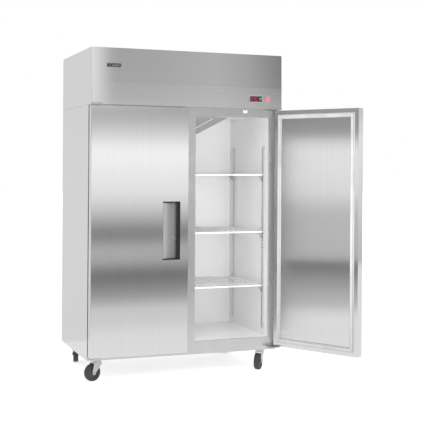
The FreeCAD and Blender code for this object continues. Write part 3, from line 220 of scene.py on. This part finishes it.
class Finish:
    """A material under construction, on one Principled shader."""

    def __init__(self, name, colour, roughness, metallic=0.0, **sockets):
        self.material = bpy.data.materials.new(name)
        self.material.use_nodes = True
        self.tree = self.material.node_tree
        self.shader = self.tree.nodes["Principled BSDF"]
        self.set("Base Color", (*colour, 1))
        self.set("Roughness", roughness)
        self.set("Metallic", metallic)
        for socket, level in sockets.items():
            self.set(socket.replace("_", " "), level)

    def set(self, socket, level):
        self.shader.inputs[socket].default_value = level

    def node(self, kind, **settings):
        made = self.tree.nodes.new("ShaderNode" + kind)
        for name, setting in settings.items():
            setattr(made, name, setting)
        return made

    def link(self, output, target):
        self.tree.links.new(output, target)

    def noise(self, stretch, detail=3.0):
        """Noise in object space; stretch is how many patches fit in a metre along each axis."""
        place = self.node("TexCoord")
        scale = self.node("VectorMath", operation="MULTIPLY")
        scale.inputs[1].default_value = stretch
        texture = self.node("TexNoise")
        texture.inputs["Scale"].default_value = 1.0
        texture.inputs["Detail"].default_value = detail
        self.link(place.outputs["Object"], scale.inputs[0])
        self.link(scale.outputs[0], texture.inputs["Vector"])
        return texture.outputs["Fac"]

    def spread(self, factor, low, high):
        """Maps the middle of a noise onto low to high."""
        ranged = self.node("MapRange")
        limits = {"From Min": 0.3, "From Max": 0.7, "To Min": low, "To Max": high}
        for socket, level in limits.items():
            ranged.inputs[socket].default_value = level
        self.link(factor, ranged.inputs["Value"])
        return ranged.outputs["Result"]

    def vary_roughness(self, factor, low, high):
        self.link(self.spread(factor, low, high), self.shader.inputs["Roughness"])

    def vary_colour(self, factor, dark, light):
        blend = self.node("Mix", data_type="RGBA")
        self.link(self.spread(factor, 0, 1), blend.inputs["Factor"])
        blend.inputs["A"].default_value = (*dark, 1)
        blend.inputs["B"].default_value = (*light, 1)
        self.link(blend.outputs["Result"], self.shader.inputs["Base Color"])

    def bump(self, factor, strength, distance):
        dent = self.node("Bump")
        dent.inputs["Strength"].default_value = strength
        dent.inputs["Distance"].default_value = distance
        self.link(factor, dent.inputs["Height"])
        self.link(dent.outputs["Normal"], self.shader.inputs["Normal"])

    def brush(self, upright):
        """Stretches highlights across the grain, which runs up or along upright faces.

        The nudge keeps the tangent from vanishing on level faces.
        """
        face = self.node("NewGeometry")
        across = self.node("VectorMath", operation="CROSS_PRODUCT")
        across.inputs[0].default_value = UP
        nudge = self.node("VectorMath", operation="ADD")
        nudge.inputs[1].default_value = (0.001, 0.0005, 0)
        self.link(face.outputs["Normal"], across.inputs[1])
        self.link(across.outputs[0], nudge.inputs[0])
        self.link(nudge.outputs[0], self.shader.inputs["Tangent"])
        self.set("Anisotropic", 1.0)
        self.set("Anisotropic Rotation", 0.0 if upright else 0.25)


def shade(level, warmth=0.0):
    """A grey, or a slightly warm one."""
    return (level * (1 + warmth), level, level * (1 - warmth))


def brushed_steel(name, level, roughness, upright):
    """Brushed stainless sheet: fine grain and faint streaks along it."""
    finish = Finish(name, shade(level), roughness, metallic=1.0)
    fine = (900, 900, 5) if upright else (5, 900, 900)
    streak = (160, 160, 1.2) if upright else (1.2, 160, 160)
    grain = finish.noise(fine)
    finish.vary_roughness(grain, roughness * 0.85, roughness * 1.15)
    finish.vary_colour(finish.noise(streak), shade(level * 0.985, 0.002),
                       shade(level * 1.01, 0.002))
    finish.bump(grain, 0.04, 0.0002)
    finish.brush(upright)
    return finish.material


def satin_steel(name, level, roughness, metallic=1.0):
    """Plain rolled or plated metal with slow patches of tone."""
    finish = Finish(name, shade(level), roughness, metallic=metallic)
    patches = finish.noise((14, 14, 14), 4)
    finish.vary_roughness(patches, roughness * 0.85, roughness * 1.15)
    finish.vary_colour(finish.noise((3, 3, 3)), shade(level * 0.96), shade(level * 1.02))
    finish.bump(finish.noise((240, 240, 30)), 0.02, 0.0002)
    return finish.material


def galvanised(name):
    """Zinc coat with its flat crystals."""
    finish = Finish(name, (0.6, 0.61, 0.62), 0.42, metallic=0.9)
    place = finish.node("TexCoord")
    cells = finish.node("TexVoronoi", feature="F1")
    cells.inputs["Scale"].default_value = 55
    finish.link(place.outputs["Object"], cells.inputs["Vector"])
    finish.vary_colour(cells.outputs["Distance"], (0.50, 0.51, 0.525), (0.66, 0.67, 0.68))
    finish.vary_roughness(cells.outputs["Distance"], 0.36, 0.5)
    finish.bump(cells.outputs["Distance"], 0.05, 0.0003)
    return finish.material


def moulded(name, level, roughness, grain=1600, **sockets):
    """Moulded plastic or rubber with a fine spark texture."""
    finish = Finish(name, shade(level), roughness, **sockets)
    spark = finish.noise((grain, grain, grain), 2)
    finish.vary_roughness(finish.noise((25, 25, 25)), roughness * 0.85, roughness * 1.15)
    finish.vary_colour(finish.noise((9, 9, 9)), shade(level * 0.9), shade(level * 1.08))
    finish.bump(spark, 0.15, 0.0002)
    return finish.material


def foam():
    finish = Finish("foam", (0.82, 0.72, 0.45), 0.9)
    cells = finish.noise((400, 400, 400), 5)
    finish.vary_colour(cells, (0.74, 0.62, 0.36), (0.86, 0.77, 0.52))
    finish.bump(cells, 0.5, 0.001)
    return finish.material


def drawn_copper():
    finish = Finish("copper", (0.78, 0.42, 0.26), 0.3, metallic=1.0)
    finish.vary_colour(finish.noise((30, 30, 30)), (0.62, 0.31, 0.18), (0.84, 0.48, 0.31))
    return finish.material


def lens(name, colour, glow, strength):
    """Tinted plastic lit from behind, a little brighter in the middle of its mottling."""
    finish = Finish(name, colour, 0.25, Emission_Strength=strength)
    finish.set("Emission Color", (*glow, 1))
    finish.vary_colour(finish.noise((120, 120, 120)), [c * 0.85 for c in colour], colour)
    return finish.material


STEEL = brushed_steel("brushed_stainless", 0.78, 0.14, upright=True)
HEADER_STEEL = brushed_steel("header_stainless", 0.78, 0.11, upright=False)
EDGE_STEEL = satin_steel("folded_stainless", 0.7, 0.3)
LINER = satin_steel("liner_stainless", 0.88, 0.36, metallic=0.25)
# The evaporator cover gets a darkened copy of the stainless: painted shade for its shadowed underside.
SHADED_COVER_STEEL = satin_steel("cover_stainless_painted_shade", 0.30, 0.22)
INNER_PANEL = brushed_steel("inner_panel_stainless", 0.78, 0.13, upright=True)
# The handle ramp is the door's stainless in a darker, duller copy: painted shade for the dimmer slope.
SHADED_RAMP_STEEL = satin_steel("ramp_stainless_painted_shade", 0.42, 0.26, metallic=0.62)
# A near-black strip that stands for the shade in the door panel's groove: painted shade.
GROOVE_SHADE = moulded("groove_painted_shade", 0.09, 0.6)
KEY_BLACK = moulded("key_black", 0.03, 0.4)
BLACK = moulded("black_plastic", 0.007, 0.4, Specular_IOR_Level=0.3)
GLASS_BLACK = Finish("display_black", (0.006, 0.004, 0.005), 0.08, Coat_Weight=0.6).material
GREY = moulded("bezel_grey", 0.22, 0.4)
WHITE_MARK = moulded("white_print", 0.8, 0.5)
CHROME = satin_steel("bright_wire", 0.85, 0.18)
ZINC = satin_steel("zinc_plate", 0.62, 0.32)
DARK_ZINC = satin_steel("dark_zinc", 0.3, 0.4)
HUB = moulded("hub_grey", 0.05, 0.45)
DIGITS = lens("red_digits", (0.4, 0.01, 0.05), (1.0, 0.02, 0.12), 0.32)

SLOT_FINISH = {
    "brushed_stainless": STEEL,
    "galvanised_steel": galvanised("galvanised_steel"),
    "liner_stainless": LINER,
    "foam": foam(),
    "gasket_rubber": moulded("gasket_rubber", 0.42, 0.55, grain=500),
    "black_plastic": BLACK,
    "badge_black": moulded("badge_black", 0.008, 0.2, Coat_Weight=0.5),
    "bezel_grey": GREY,
    "red_lens": lens("red_lens", (0.80, 0.10, 0.17), (1.0, 0.16, 0.26), 0.2),
    "nylon_white": moulded("nylon_white", 0.8, 0.4),
    "zinc_steel": ZINC,
    "wheel_rubber": moulded("wheel_rubber", 0.035, 0.6, grain=900),
    "shelf_coating": moulded("shelf_coating", 0.78, 0.3, grain=300, Coat_Weight=0.3),
    "coil_aluminium": satin_steel("coil_aluminium", 0.75, 0.4),
    "compressor_black": moulded("compressor_black", 0.02, 0.4, grain=300),
    "copper": drawn_copper(),
}
NODE_FINISH = {
    "header_front_panel": HEADER_STEEL,
    "left_door_inner_panel": INNER_PANEL,
    "right_door_inner_panel": INNER_PANEL,
    "front_frame": EDGE_STEEL,
    "evaporator_cover": SHADED_COVER_STEEL,
    "switch_housing": GREY,
    "key_lower_left": KEY_BLACK,
    "key_lower_right": KEY_BLACK,
    "key_upper_left": KEY_BLACK,
    "key_upper_right": KEY_BLACK,
    "hinge_brackets": ZINC,
    "shelf_pilasters": satin_steel("pilaster_stainless", 0.8, 0.3),
}


def finish_nodes():
    """Gives every CAD node the finish of its slot, or one of its own."""
    for name, obj in frame["nodes"].items():
        material = NODE_FINISH.get(name, SLOT_FINISH[SLOT_OF[name]])
        if not obj.material_slots:
            obj.data.materials.append(material)
        for held in obj.material_slots:
            held.material = material


# ---------------------------------------------------------------- cabinet

def side_sheets():
    """Side panels with their folded edges; the header side is a sheet of its own above a seam."""
    fold, gauge, seam = 0.012, 0.0015, 0.0005
    header_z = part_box("machine_deck")[0].z
    front_low, front_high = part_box("header_front_panel")
    for side, way in zip(SIDES, (-1, 1)):
        low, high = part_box(f"{side}_side_panel")
        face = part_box("front_frame")[0].y
        outer = low.x if side == "left" else high.x
        web, lip = outer - way * gauge, outer - way * fold
        profile = (
            (outer, face), (outer, high.y), (lip, high.y), (lip, high.y - gauge),
            (web, high.y - gauge), (web, face + gauge), (lip, face + gauge), (lip, face),
        )
        sheets = Shape()
        sheets.prism([(x, y, low.z) for x, y in profile], (0, 0, header_z - low.z - seam))
        crease = front_low.z + CREASE_RISE
        header = (
            (front_low.y, header_z + seam), (front_low.y, crease),
            (front_low.y + HEADER_LEAN, front_high.z), (high.y - gauge, front_high.z),
            (high.y - gauge, header_z + seam),
        )
        sheets.prism([(web, y, z) for y, z in header], (way * gauge, 0, 0))
        piece = sheets.piece(f"{side}_side_sheets", STEEL, "root", "brushed_stainless", 0.0006)
        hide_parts(f"{side}_side_panel")


def liner_coves():
    """Hollow-rounded strips up the two rear corners of the liner."""
    low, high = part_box("inner_liner")
    wall, radius, tuck, steps = 0.002, 0.014, 0.0002, 6
    inner_x, back, floor_z = high.x - wall, high.y - wall, low.z + wall
    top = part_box("evaporator_cover")[1].z
    strips = Shape()
    for way in (-1, 1):
        arc = [(inner_x - radius + radius * math.sin(a), back - radius + radius * math.cos(a))
               for a in (math.pi / 2 * step / steps for step in range(steps + 1))]
        corner = (inner_x - tuck, back - tuck)
        strips.prism([(way * x, y, floor_z) for x, y in arc + [corner]], (0, 0, top - floor_z))
    strips.piece("liner_corner_coves", LINER, "root", "liner_stainless")


# ---------------------------------------------------------------- doors

def leaf_matrix(side):
    """From a closed right-hand leaf to the given leaf as it stands."""
    if side == "left":
        return Matrix.Scale(-1, 4, (1, 0, 0))
    hinge = JOINTS["right_door_hinge"]
    pin = Matrix.Translation(hinge["pos_m"])
    swing = Matrix.Rotation(math.radians(-hinge["range_deg"][0]), 4, "Z")
    return pin @ swing @ pin.inverted()


def leaf_box(node):
    """Box of the left leaf's node, mirrored to a closed right-hand leaf."""
    low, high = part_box(node)
    return Vector((-high.x, low.y, low.z)), Vector((-low.x, high.y, high.z))


def handles():
    """Recessed handle: a steel ramp in a black moulding with a finger well and a grip lip."""
    low, high = leaf_box("left_door_handle")
    front = leaf_box("left_door_skin")[0].y
    wall, cap, ramp = 0.003, 0.007, 0.068
    grip_wall, grip_width, grip_drop = 0.012, 0.022, 0.009
    floor = high.y - wall
    foot, well = high.x - ramp, low.x + grip_wall
    profile = (
        (high.x, front), (foot, floor), (well, floor), (well, front + grip_drop),
        (low.x + grip_width, front + grip_drop), (low.x + grip_width, low.y), (low.x, low.y),
        (low.x, high.y), (foot + 0.004, high.y), (high.x, front + wall),
    )
    lift, knee = 0.0008, 0.006
    face = (
        (high.x - 0.001, front), (foot + knee, floor - knee * 0.52),
        (foot + knee * 0.3, floor - knee * 0.12), (foot - knee, floor), (well + 0.001, floor),
    )
    slope = [*face, *((x, y - lift) for x, y in reversed(face))]
    height = high.z - low.z
    for side in SIDES:
        body = f"{side}_door"
        moulding = Shape()
        moulding.prism([(x, y, low.z + wall) for x, y in profile], (0, 0, height - 2 * wall))
        for z in (low.z, high.z - cap):
            moulding.block((low.x, low.y, z), (high.x, high.y, z + cap))
        moulding.move(leaf_matrix(side))
        tub = moulding.piece(f"{side}_handle_moulding", BLACK, body, "black_plastic", 0.0008)
        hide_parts(f"{side}_door_handle")
        # The ramp sheet's darker steel copy paints the shade its slope shows.
        sheet = Shape()
        sheet.prism([(x, y, low.z + cap) for x, y in slope], (0, 0, height - 2 * cap))
        sheet.move(leaf_matrix(side))
        sheet.piece(f"{side}_handle_ramp", SHADED_RAMP_STEEL, body, "brushed_stainless")


def panel_groove_shades():
    """Dark strip painted as the shade in the groove where the inner panel meets the gasket's base."""
    low, high = leaf_box("left_door_inner_panel")
    reach, rise = 0.002, 0.0005
    spans = (
        ((low.x - reach, low.z - reach), (high.x + reach, low.z)),
        ((low.x - reach, high.z), (high.x + reach, high.z + reach)),
        ((low.x - reach, low.z), (low.x, high.z)),
        ((high.x, low.z), (high.x + reach, high.z)),
    )
    for side in SIDES:
        groove = Shape()
        for (x0, z0), (x1, z1) in spans:
            groove.block((x0, low.y, z0), (x1, low.y + rise, z1))
        groove.move(leaf_matrix(side))
        groove.piece(f"{side}_panel_groove_shade", GROOVE_SHADE, f"{side}_door", "gasket_rubber")


# ---------------------------------------------------------------- header fittings

SEGMENTS = {0: "abcdef", 4: "fgbc"}


def digit(shape, number, corner, width, tall, thick):
    """A seven-segment digit on the XZ plane, lifted towards -Y."""
    x0, y, z0 = corner
    half, gap, lift = tall / 2, thick * 0.15, 0.0003
    lines = {
        "a": ((0, tall), (width, tall)), "g": ((0, half), (width, half)), "d": ((0, 0), (width, 0)),
        "f": ((0, half), (0, tall)), "b": ((width, half), (width, tall)),
        "e": ((0, 0), (0, half)), "c": ((width, 0), (width, half)),
    }
    for name in SEGMENTS[number]:
        start, end = (Vector((x0 + px, y, z0 + pz)) for px, pz in lines[name])
        along = (end - start).normalized()
        across = along.cross(Vector((0, 1, 0))) * thick / 2
        start, end = start + along * gap, end - along * gap
        nib = along * thick / 2
        outline = (start, start + nib + across, end - nib + across,
                   end, end - nib - across, start + nib - across)
        shape.prism(outline, (0, -lift, 0))


def key_marks():
    """Outline of the mark on each key: two arrowheads, a square and a spot."""
    reach = 0.0022

    def arrow(way):
        base = -way * reach * 0.6
        return (-reach, base), (reach, base), (0, way * reach)

    def spot(turns):
        angles = (2 * math.pi * (k + 0.5) / turns for k in range(turns))
        return [(reach * math.cos(a), reach * math.sin(a)) for a in angles]

    return {
        "key_lower_left": arrow(-1), "key_upper_left": arrow(1),
        "key_lower_right": spot(4), "key_upper_right": spot(12),
    }


def controller():
    """Dark display window with red digits, and a mark on each key."""
    low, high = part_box("controller_housing")
    marks = key_marks()
    keys = {name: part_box(name) for name in marks}
    rim, clear, lift, sink = 0.008, 0.0004, 0.0007, 0.0001
    xs, zs = (sorted({low[k] + rim, high[k] - rim,
                      *(v for a, b in keys.values() for v in (a[k] - clear, b[k] + clear))})
              for k in (0, 2))

    def at_key(x, z):
        return any(a.x - clear < x < b.x + clear and a.z - clear < z < b.z + clear
                   for a, b in keys.values())

    window = Shape()
    window.plate(xs, zs, low.y - lift, low.y + sink, at_key)
    window.piece("display_window", GLASS_BLACK, "root", "black_plastic")
    tall, width, thick, margin, pitch = 0.019, 0.0095, 0.0026, 0.0155, 0.0148
    foot = (low.z + high.z - tall) / 2
    digits = Shape()
    for index, number in enumerate((0, 4, 0)):
        corner = (low.x + margin + index * pitch, low.y - lift, foot)
        digit(digits, number, corner, width, tall, thick)
    digits.piece("display_digits", DIGITS, "root", "red_lens")
    for name, (a, b) in keys.items():
        centre = (a + b) / 2
        mark = Shape()
        mark.prism([(centre.x + x, a.y, centre.z + z) for x, z in marks[name]], (0, -0.0001, 0))
        mark.piece(f"{name}_mark", WHITE_MARK, name, "bezel_grey")


def badge():
    """Blank plate with a thin bright border and a plain snow crystal."""
    low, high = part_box("badge_plate")
    front_low, front_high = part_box("header_front_panel")
    lean = math.atan2(HEADER_LEAN, front_high.z - front_low.z - CREASE_RISE)
    centre = (low + high) / 2
    face = (centre.x, low.y + (high.y - low.y) * 0.22, centre.z)
    here = Matrix.Translation(face) @ Matrix.Rotation(-lean, 4, "X")
    margin = 0.003
    wide, tall = (high.x - low.x) / 2 - margin, (high.z - low.z) / 2 - margin
    line, lift = 0.0007, -0.0004
    trim = Shape()
    for z in (-tall, tall - line):
        trim.block((-wide, lift, z), (wide, 0, z + line))
    for x in (-wide, wide - line):
        trim.block((x, lift, -tall + line), (x + line, 0, tall - line))
    arm = tall * 0.68
    bar = ((-arm, -line / 2), (arm, -line / 2), (arm, line / 2), (-arm, line / 2))
    for turn in range(3):
        spin = Matrix.Rotation(math.pi / 3 * turn, 4, "Y")
        outline = [spin @ Vector((x, 0, z)) + Vector((-wide * 0.62, 0, 0)) for x, z in bar]
        trim.prism(outline, (0, lift, 0))
    for level in (-0.32, 0.0, 0.32):
        middle, thick = tall * level, line * 0.7
        trim.block((-wide * 0.3, lift, middle - thick), (wide * 0.82, 0, middle + thick))
    trim.move(here)
    trim.piece("badge_trim", CHROME, "root", "zinc_steel")


# ---------------------------------------------------------------- fasteners

def screw(shape, place, axis, radius, rise):
    """Pan head with a rounded rim and a shallow socket."""
    profile = (
        (0, rise * 0.45), (radius * 0.4, rise * 0.45), (radius * 0.46, rise),
        (radius * 0.72, rise * 0.93), (radius * 0.93, rise * 0.62), (radius, rise * 0.2),
        (radius, 0), (0, 0),
    )
    shape.turned(profile, place, axis, steps=12)


def fasteners():
    """A bolt in each hinge bracket, screws in the rear sheets and bolts under the casters."""
    face, leg_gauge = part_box("front_frame")[0].y, 0.003
    bolts = Shape()
    for low, high in islands("hinge_brackets"):
        way = 1 if high.x > 0 else -1
        x = (max(abs(low.x), abs(high.x)) - 0.013) * way
        z = high.z - 0.030 if high.z > 1.0 else low.z + 0.023
        screw(bolts, (x, face - leg_gauge, z), (0, -1, 0), 0.0055, 0.0025)
    bolts.piece("hinge_bolts", DARK_ZINC, "root", "zinc_steel")
    rear, margin = Shape(), 0.012
    low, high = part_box("header_rear_grille")
    middle = (low.x + high.x) / 2
    for x in (low.x + margin, middle - 0.2, middle + 0.2, high.x - margin):
        for z in (low.z + margin, high.z - margin):
            screw(rear, (x, high.y, z), (0, 1, 0), 0.005, 0.002)
    low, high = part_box("back_panel")
    rows, end = 6, 0.04
    for row in range(rows):
        level = low.z + end + (high.z - low.z - 2 * end) * row / (rows - 1)
        for x in (low.x + margin, high.x - margin):
            screw(rear, (x, high.y, level), (0, 1, 0), 0.005, 0.002)
    rear.piece("rear_screws", ZINC, "root", "zinc_steel")
    nuts = Shape()
    for low, high in islands("caster_plates"):
        centre = (low + high) / 2
        for dx in (-0.038, 0.038):
            for dy in (-0.030, 0.030):
                place = (centre.x + dx, centre.y + dy, high.z - 0.004)
                screw(nuts, place, (0, 0, -1), 0.007, 0.005)
    nuts.piece("caster_bolts", DARK_ZINC, "root", "zinc_steel")


# ---------------------------------------------------------------- inside

def cover_point(x, y, drop=0.0):
    """A point on the sloping underside of the evaporator cover, or a little under it."""
    low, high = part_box("evaporator_cover")
    lip = 0.016
    share = (y - low.y) / (high.y - low.y)
    return Vector((x, y, high.z - lip - share * (high.z - lip - low.z) - drop))


def fan_guard():
    """Wire guard under the fan port of the evaporator cover."""
    port = JOINTS["evaporator_fan_spin"]["pos_m"]
    wire, reach, rings, steps, spokes = 0.0014, 0.092, 5, 40, 6

    def around(radius, angle, drop):
        return cover_point(port[0] + radius * math.cos(angle),
                           port[1] + radius * math.sin(angle), drop)

    guard = Shape()
    for ring in range(1, rings + 1):
        radius = reach * ring / rings
        guard.tube([around(radius, 2 * math.pi * k / steps, 0.004) for k in range(steps)],
                   wire, closed=True)
    for spoke in range(spokes):
        angle = math.pi / 3 * spoke + 0.3
        guard.tube([around(radius, angle, 0.007) for radius in (0.016, 0.1)], wire)
    guard.piece("fan_guard", CHROME, "root", "zinc_steel")


def cover_painted_highlights():
    """Front lip and four pressed ribs of the evaporator cover, in the bright wire finish: painted highlights along
    them, set against the cover's painted shade.
    """
    low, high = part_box("evaporator_cover")
    half, crown = 0.008, 0.003
    trim = Shape()
    trim.block((low.x, low.y - 0.0012, high.z - 0.0165), (high.x, low.y - 0.0002, high.z - 0.0005))
    section = ((-half, 0, 0), (half, 0, 0), (half * 0.4, 0, -crown), (-half * 0.4, 0, -crown))
    for x in (0.105, 0.215):
        for way in (-1, 1):
            start, end = cover_point(way * x, low.y + 0.02), cover_point(way * x, high.y - 0.03)
            trim.prism([start + Vector(corner) for corner in section], end - start)
    trim.piece("cover_painted_highlights", CHROME, "root", "liner_stainless")


def clips():
    """Bent wire clips under each shelf corner, in place of the solid wedges."""
    wire, spread, drop = 0.0017, 0.024, 0.032
    made = Shape()
    for low, high in islands("shelf_clips"):
        # A clip's root is on the side wall or on the centre post, whichever is nearer.
        towards_low = abs(low.x) > abs(high.x) if abs(low.x + high.x) > 0.2 else low.x > 0
        root, tip = (low.x, high.x) if towards_low else (high.x, low.x)
        way = 1 if tip > root else -1
        y, top = (low.y + high.y) / 2, high.z - wire * 1.2
        at_post, at_shelf = root + way * wire * 1.2, tip - way * wire
        made.tube(((at_shelf, y - spread, top), (at_post, y - 0.004, top - drop),
                   (at_post, y + 0.004, top - drop), (at_shelf, y + spread, top)), wire, steps=6)
        made.tube(((at_post, y - spread * 0.9, top), (at_shelf, y - spread, top),
                   (at_shelf, y + spread, top), (at_post, y + spread * 0.9, top)), wire, steps=6)
    piece = made.piece("shelf_wire_clips", DARK_ZINC, "root", "black_plastic")
    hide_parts("shelf_clips")


# ---------------------------------------------------------------- wheels

def wheels():
    """Rounded rubber tyre on a dished plastic hub."""
    half, bore, rounding, steps = 0.016, 0.00405, 0.004, 5
    for corner in CORNERS:
        joint = JOINTS[f"{corner}_roll"]
        centre, axis = Vector(joint["pos_m"]), Vector(joint["axis"])
        radius = centre.z
        shoulder = radius - rounding
        tread = [(radius - 0.013, -half), (shoulder, -half)]
        tread += [(shoulder + rounding * math.sin(a), -half + 2 * rounding * (1 - math.cos(a)))
                  for a in (math.pi / 2 * k / steps for k in range(1, steps + 1))]
        tread += [(r, -along) for r, along in reversed(tread)]
        tyre = Shape()
        tyre.turned(tread, centre, axis, 64)
        piece = tyre.piece(f"{corner}_tyre", SLOT_FINISH["wheel_rubber"], f"{corner}_wheel",
                           "wheel_rubber")
        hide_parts(f"{corner}_wheel")
        side = [(bore, half + 0.002), (0.011, half + 0.002), (0.012, half - 0.003),
                (radius - 0.021, half - 0.006), (radius - 0.017, half - 0.001),
                (radius - 0.0131, half - 0.001)]
        hub = Shape()
        hub.turned(side + [(r, -along) for r, along in reversed(side)], centre, axis, 64)
        hub.piece(f"{corner}_hub", HUB, f"{corner}_wheel", "black_plastic")


# ---------------------------------------------------------------- studio

def glow_card(name, corners, axis, stops):
    """A card that only reflections see; stops are (place along the axis, brightness)."""
    mesh = bpy.data.meshes.new(name)
    mesh.from_pydata(corners, [], [(0, 1, 2, 3)])
    material = bpy.data.materials.new(name)
    material.use_nodes = True
    material.cycles.emission_sampling = "NONE"
    tree = material.node_tree
    tree.nodes.remove(tree.nodes["Principled BSDF"])
    place = tree.nodes.new("ShaderNodeTexCoord")
    parts = tree.nodes.new("ShaderNodeSeparateXYZ")
    reach = tree.nodes.new("ShaderNodeMapRange")
    ramp = tree.nodes.new("ShaderNodeValToRGB")
    light = tree.nodes.new("ShaderNodeEmission")
    start, end = stops[0][0], stops[-1][0]
    reach.inputs["From Min"].default_value = start
    reach.inputs["From Max"].default_value = end
    tree.links.new(place.outputs["Object"], parts.inputs[0])
    tree.links.new(parts.outputs[axis], reach.inputs["Value"])
    tree.links.new(reach.outputs["Result"], ramp.inputs["Fac"])
    tree.links.new(ramp.outputs["Color"], light.inputs["Color"])
    tree.links.new(light.outputs["Emission"], tree.nodes["Material Output"].inputs["Surface"])
    points = ramp.color_ramp.elements
    brightest = max(level for _, level in stops)
    light.inputs["Strength"].default_value = brightest
    while len(points) < len(stops):
        points.new(0.5)
    for point, (at, level) in zip(points, stops):
        point.position = (at - start) / (end - start)
        point.color = (*[level / brightest] * 3, 1)
    mesh.materials.append(material)
    card = put(name, mesh)
    card.visible_camera = False
    card.visible_diffuse = False
    card.visible_shadow = False


def wall_card(name, start, end, low, high, axis, stops):
    """An upright card over the line between two points of the floor."""
    (x0, y0), (x1, y1) = start, end
    glow_card(name, [(x0, y0, low), (x1, y1, low), (x1, y1, high), (x0, y0, high)], axis, stops)


def floor_card(name, near, far, axis, stops):
    """A card lying just over the floor."""
    (x0, y0), (x1, y1) = near, far
    z = 0.003
    glow_card(name, [(x0, y0, z), (x1, y0, z), (x1, y1, z), (x0, y1, z)], axis, stops)


def studio_cards():
    """What the brushed steel mirrors: a softly banded wall and floor round the cabinet."""
    far, tall, side, near = 8.0, 14.0, -1.2, 1.0
    header = 2.06
    wall_card("front_wall", (-far, -far), (far, -far), 0, header, "Z", [
        (0, 0.56), (0.15, 0.52), (0.25, 0.23), (0.36, 0.22), (0.46, 0.42), (0.58, 0.62),
        (0.72, 0.80), (0.87, 0.97), (1.12, 1.04), (1.45, 1.17), (1.53, 1.12), (1.69, 0.84),
        (1.86, 0.63), (header, 0.42)])
    wall_card("front_wall_top", (-far, -far), (far, -far), header, tall, "X", [
        (-2.0, 0.8), (0.9, 1.0), (1.25, 1.0), (1.55, 0.44), (2.2, 0.46), (3.1, 0.53),
        (3.6, 0.44), (4.3, 0.18), (6.0, 0.4)])
    floor_card("front_floor", (side, -far), (far, -near), "Y", [
        (-far, 0.56), (-7.4, 0.50), (-6.7, 0.36), (-6.1, 0.18), (-5.5, 0.17), (-5.0, 0.24),
        (-4.0, 0.38), (-3.6, 0.52), (-3.2, 0.74), (-2.5, 0.76), (-2.0, 0.88), (-near, 0.92)])
    wall_card("left_wall", (-far, -far), (-far, far), 0, tall, "Z", [
        (0, 0.60), (0.6, 0.61), (0.72, 0.74), (0.9, 0.90), (1.5, 1.0), (1.64, 0.86),
        (1.70, 0.62), (1.75, 0.40), (2.0, 0.34), (2.6, 0.6)])
    floor_card("left_floor", (-far, -far), (side, near), "X", [
        (-far, 0.60), (-6.7, 0.58), (-6.35, 0.17), (-5.9, 0.18), (-2.3, 0.62), (-1.9, 0.84),
        (-1.5, 0.92)])
    floor_card("near_floor", (side, -near), (far, near), "Y", [(-near, 0.90), (near, 0.92)])
    floor_card("back_floor", (-far, near), (far, far), "Y", [(near, 0.80), (far, 0.82)])
    wall_card("back_wall", (-far, far), (far, far), 0, tall, "Z", [(0, 0.82), (tall, 0.74)])
    wall_card("right_wall", (far, -far), (far, far), 0, tall, "Z", [
        (0, 0.6), (0.8, 0.8), (1.6, 0.95), (2.2, 0.6), (tall, 0.7)])


def floor():
    """A pale sheet to stand on."""
    reach = 40
    mesh = bpy.data.meshes.new("floor")
    corners = [(-reach, -reach, 0), (reach, -reach, 0), (reach, reach, 0), (-reach, reach, 0)]
    mesh.from_pydata(corners, [], [(0, 1, 2, 3)])
    paper = Finish("studio_floor", (0.95, 0.95, 0.95), 0.9, Emission_Strength=0.4)
    paper.set("Emission Color", (1, 1, 1, 1))
    mesh.materials.append(paper.material)
    ground = put("floor", mesh)


def area_light(name, place, target, size, power):
    """A soft disk of light that reflections don't see."""
    light = bpy.data.lights.new(name, "AREA")
    light.shape = "DISK"
    light.size = size
    light.energy = power
    lamp = put(name, light)
    lamp.location = place
    lamp.rotation_mode = "QUATERNION"
    lamp.rotation_quaternion = (Vector(target) - Vector(place)).to_track_quat("-Z", "Y")
    lamp.visible_glossy = False
    lamp.visible_camera = False


def studio():
    """White world, three soft lights, the floor and the cards."""
    scene = bpy.context.scene
    scene.view_settings.view_transform = "Standard"
    world = bpy.data.worlds.new("studio")
    world.use_nodes = True
    backdrop = world.node_tree.nodes["Background"]
    backdrop.inputs["Color"].default_value = (1, 1, 1, 1)
    backdrop.inputs["Strength"].default_value = 1.0
    scene.world = world
    area_light("key", (-3.2, -4.5, 4.2), (0, 0, 1.0), 2.6, 50)
    area_light("fill", (3.5, -5.0, 2.6), (0.2, 0, 1.0), 3.0, 20)
    area_light("inside_fill", (0.1, -1.3, 1.1), (0.3, 0.3, 0.85), 1.2, 15)
    floor()
    studio_cards()


def camera():
    """Eye level a little over the middle shelf, to the left of the cabinet's front."""
    yaw, pitch, roll = (math.radians(angle) for angle in (20.75, 0.07, 0.39))
    forward = Vector((math.sin(yaw) * math.cos(pitch), math.cos(yaw) * math.cos(pitch),
                      math.sin(pitch)))
    level = Vector((math.cos(yaw), -math.sin(yaw), 0))
    upward = level.cross(forward)
    right = level * math.cos(roll) + upward * math.sin(roll)
    above = upward * math.cos(roll) - level * math.sin(roll)
    data = bpy.data.cameras.new("camera")
    data.sensor_width = 36
    data.lens = 81.85
    data.shift_y = -0.1136
    eye = put("camera", data)
    turn = Matrix((right, above, -forward)).transposed().to_4x4()
    eye.matrix_world = Matrix.Translation((-1.9153, -5.8449, 1.2667)) @ turn
    bpy.context.scene.camera = eye


finish_nodes()
side_sheets()
liner_coves()
handles()
controller()
badge()
fasteners()
fan_guard()
cover_painted_highlights()
panel_groove_shades()
clips()
wheels()
studio()
camera()
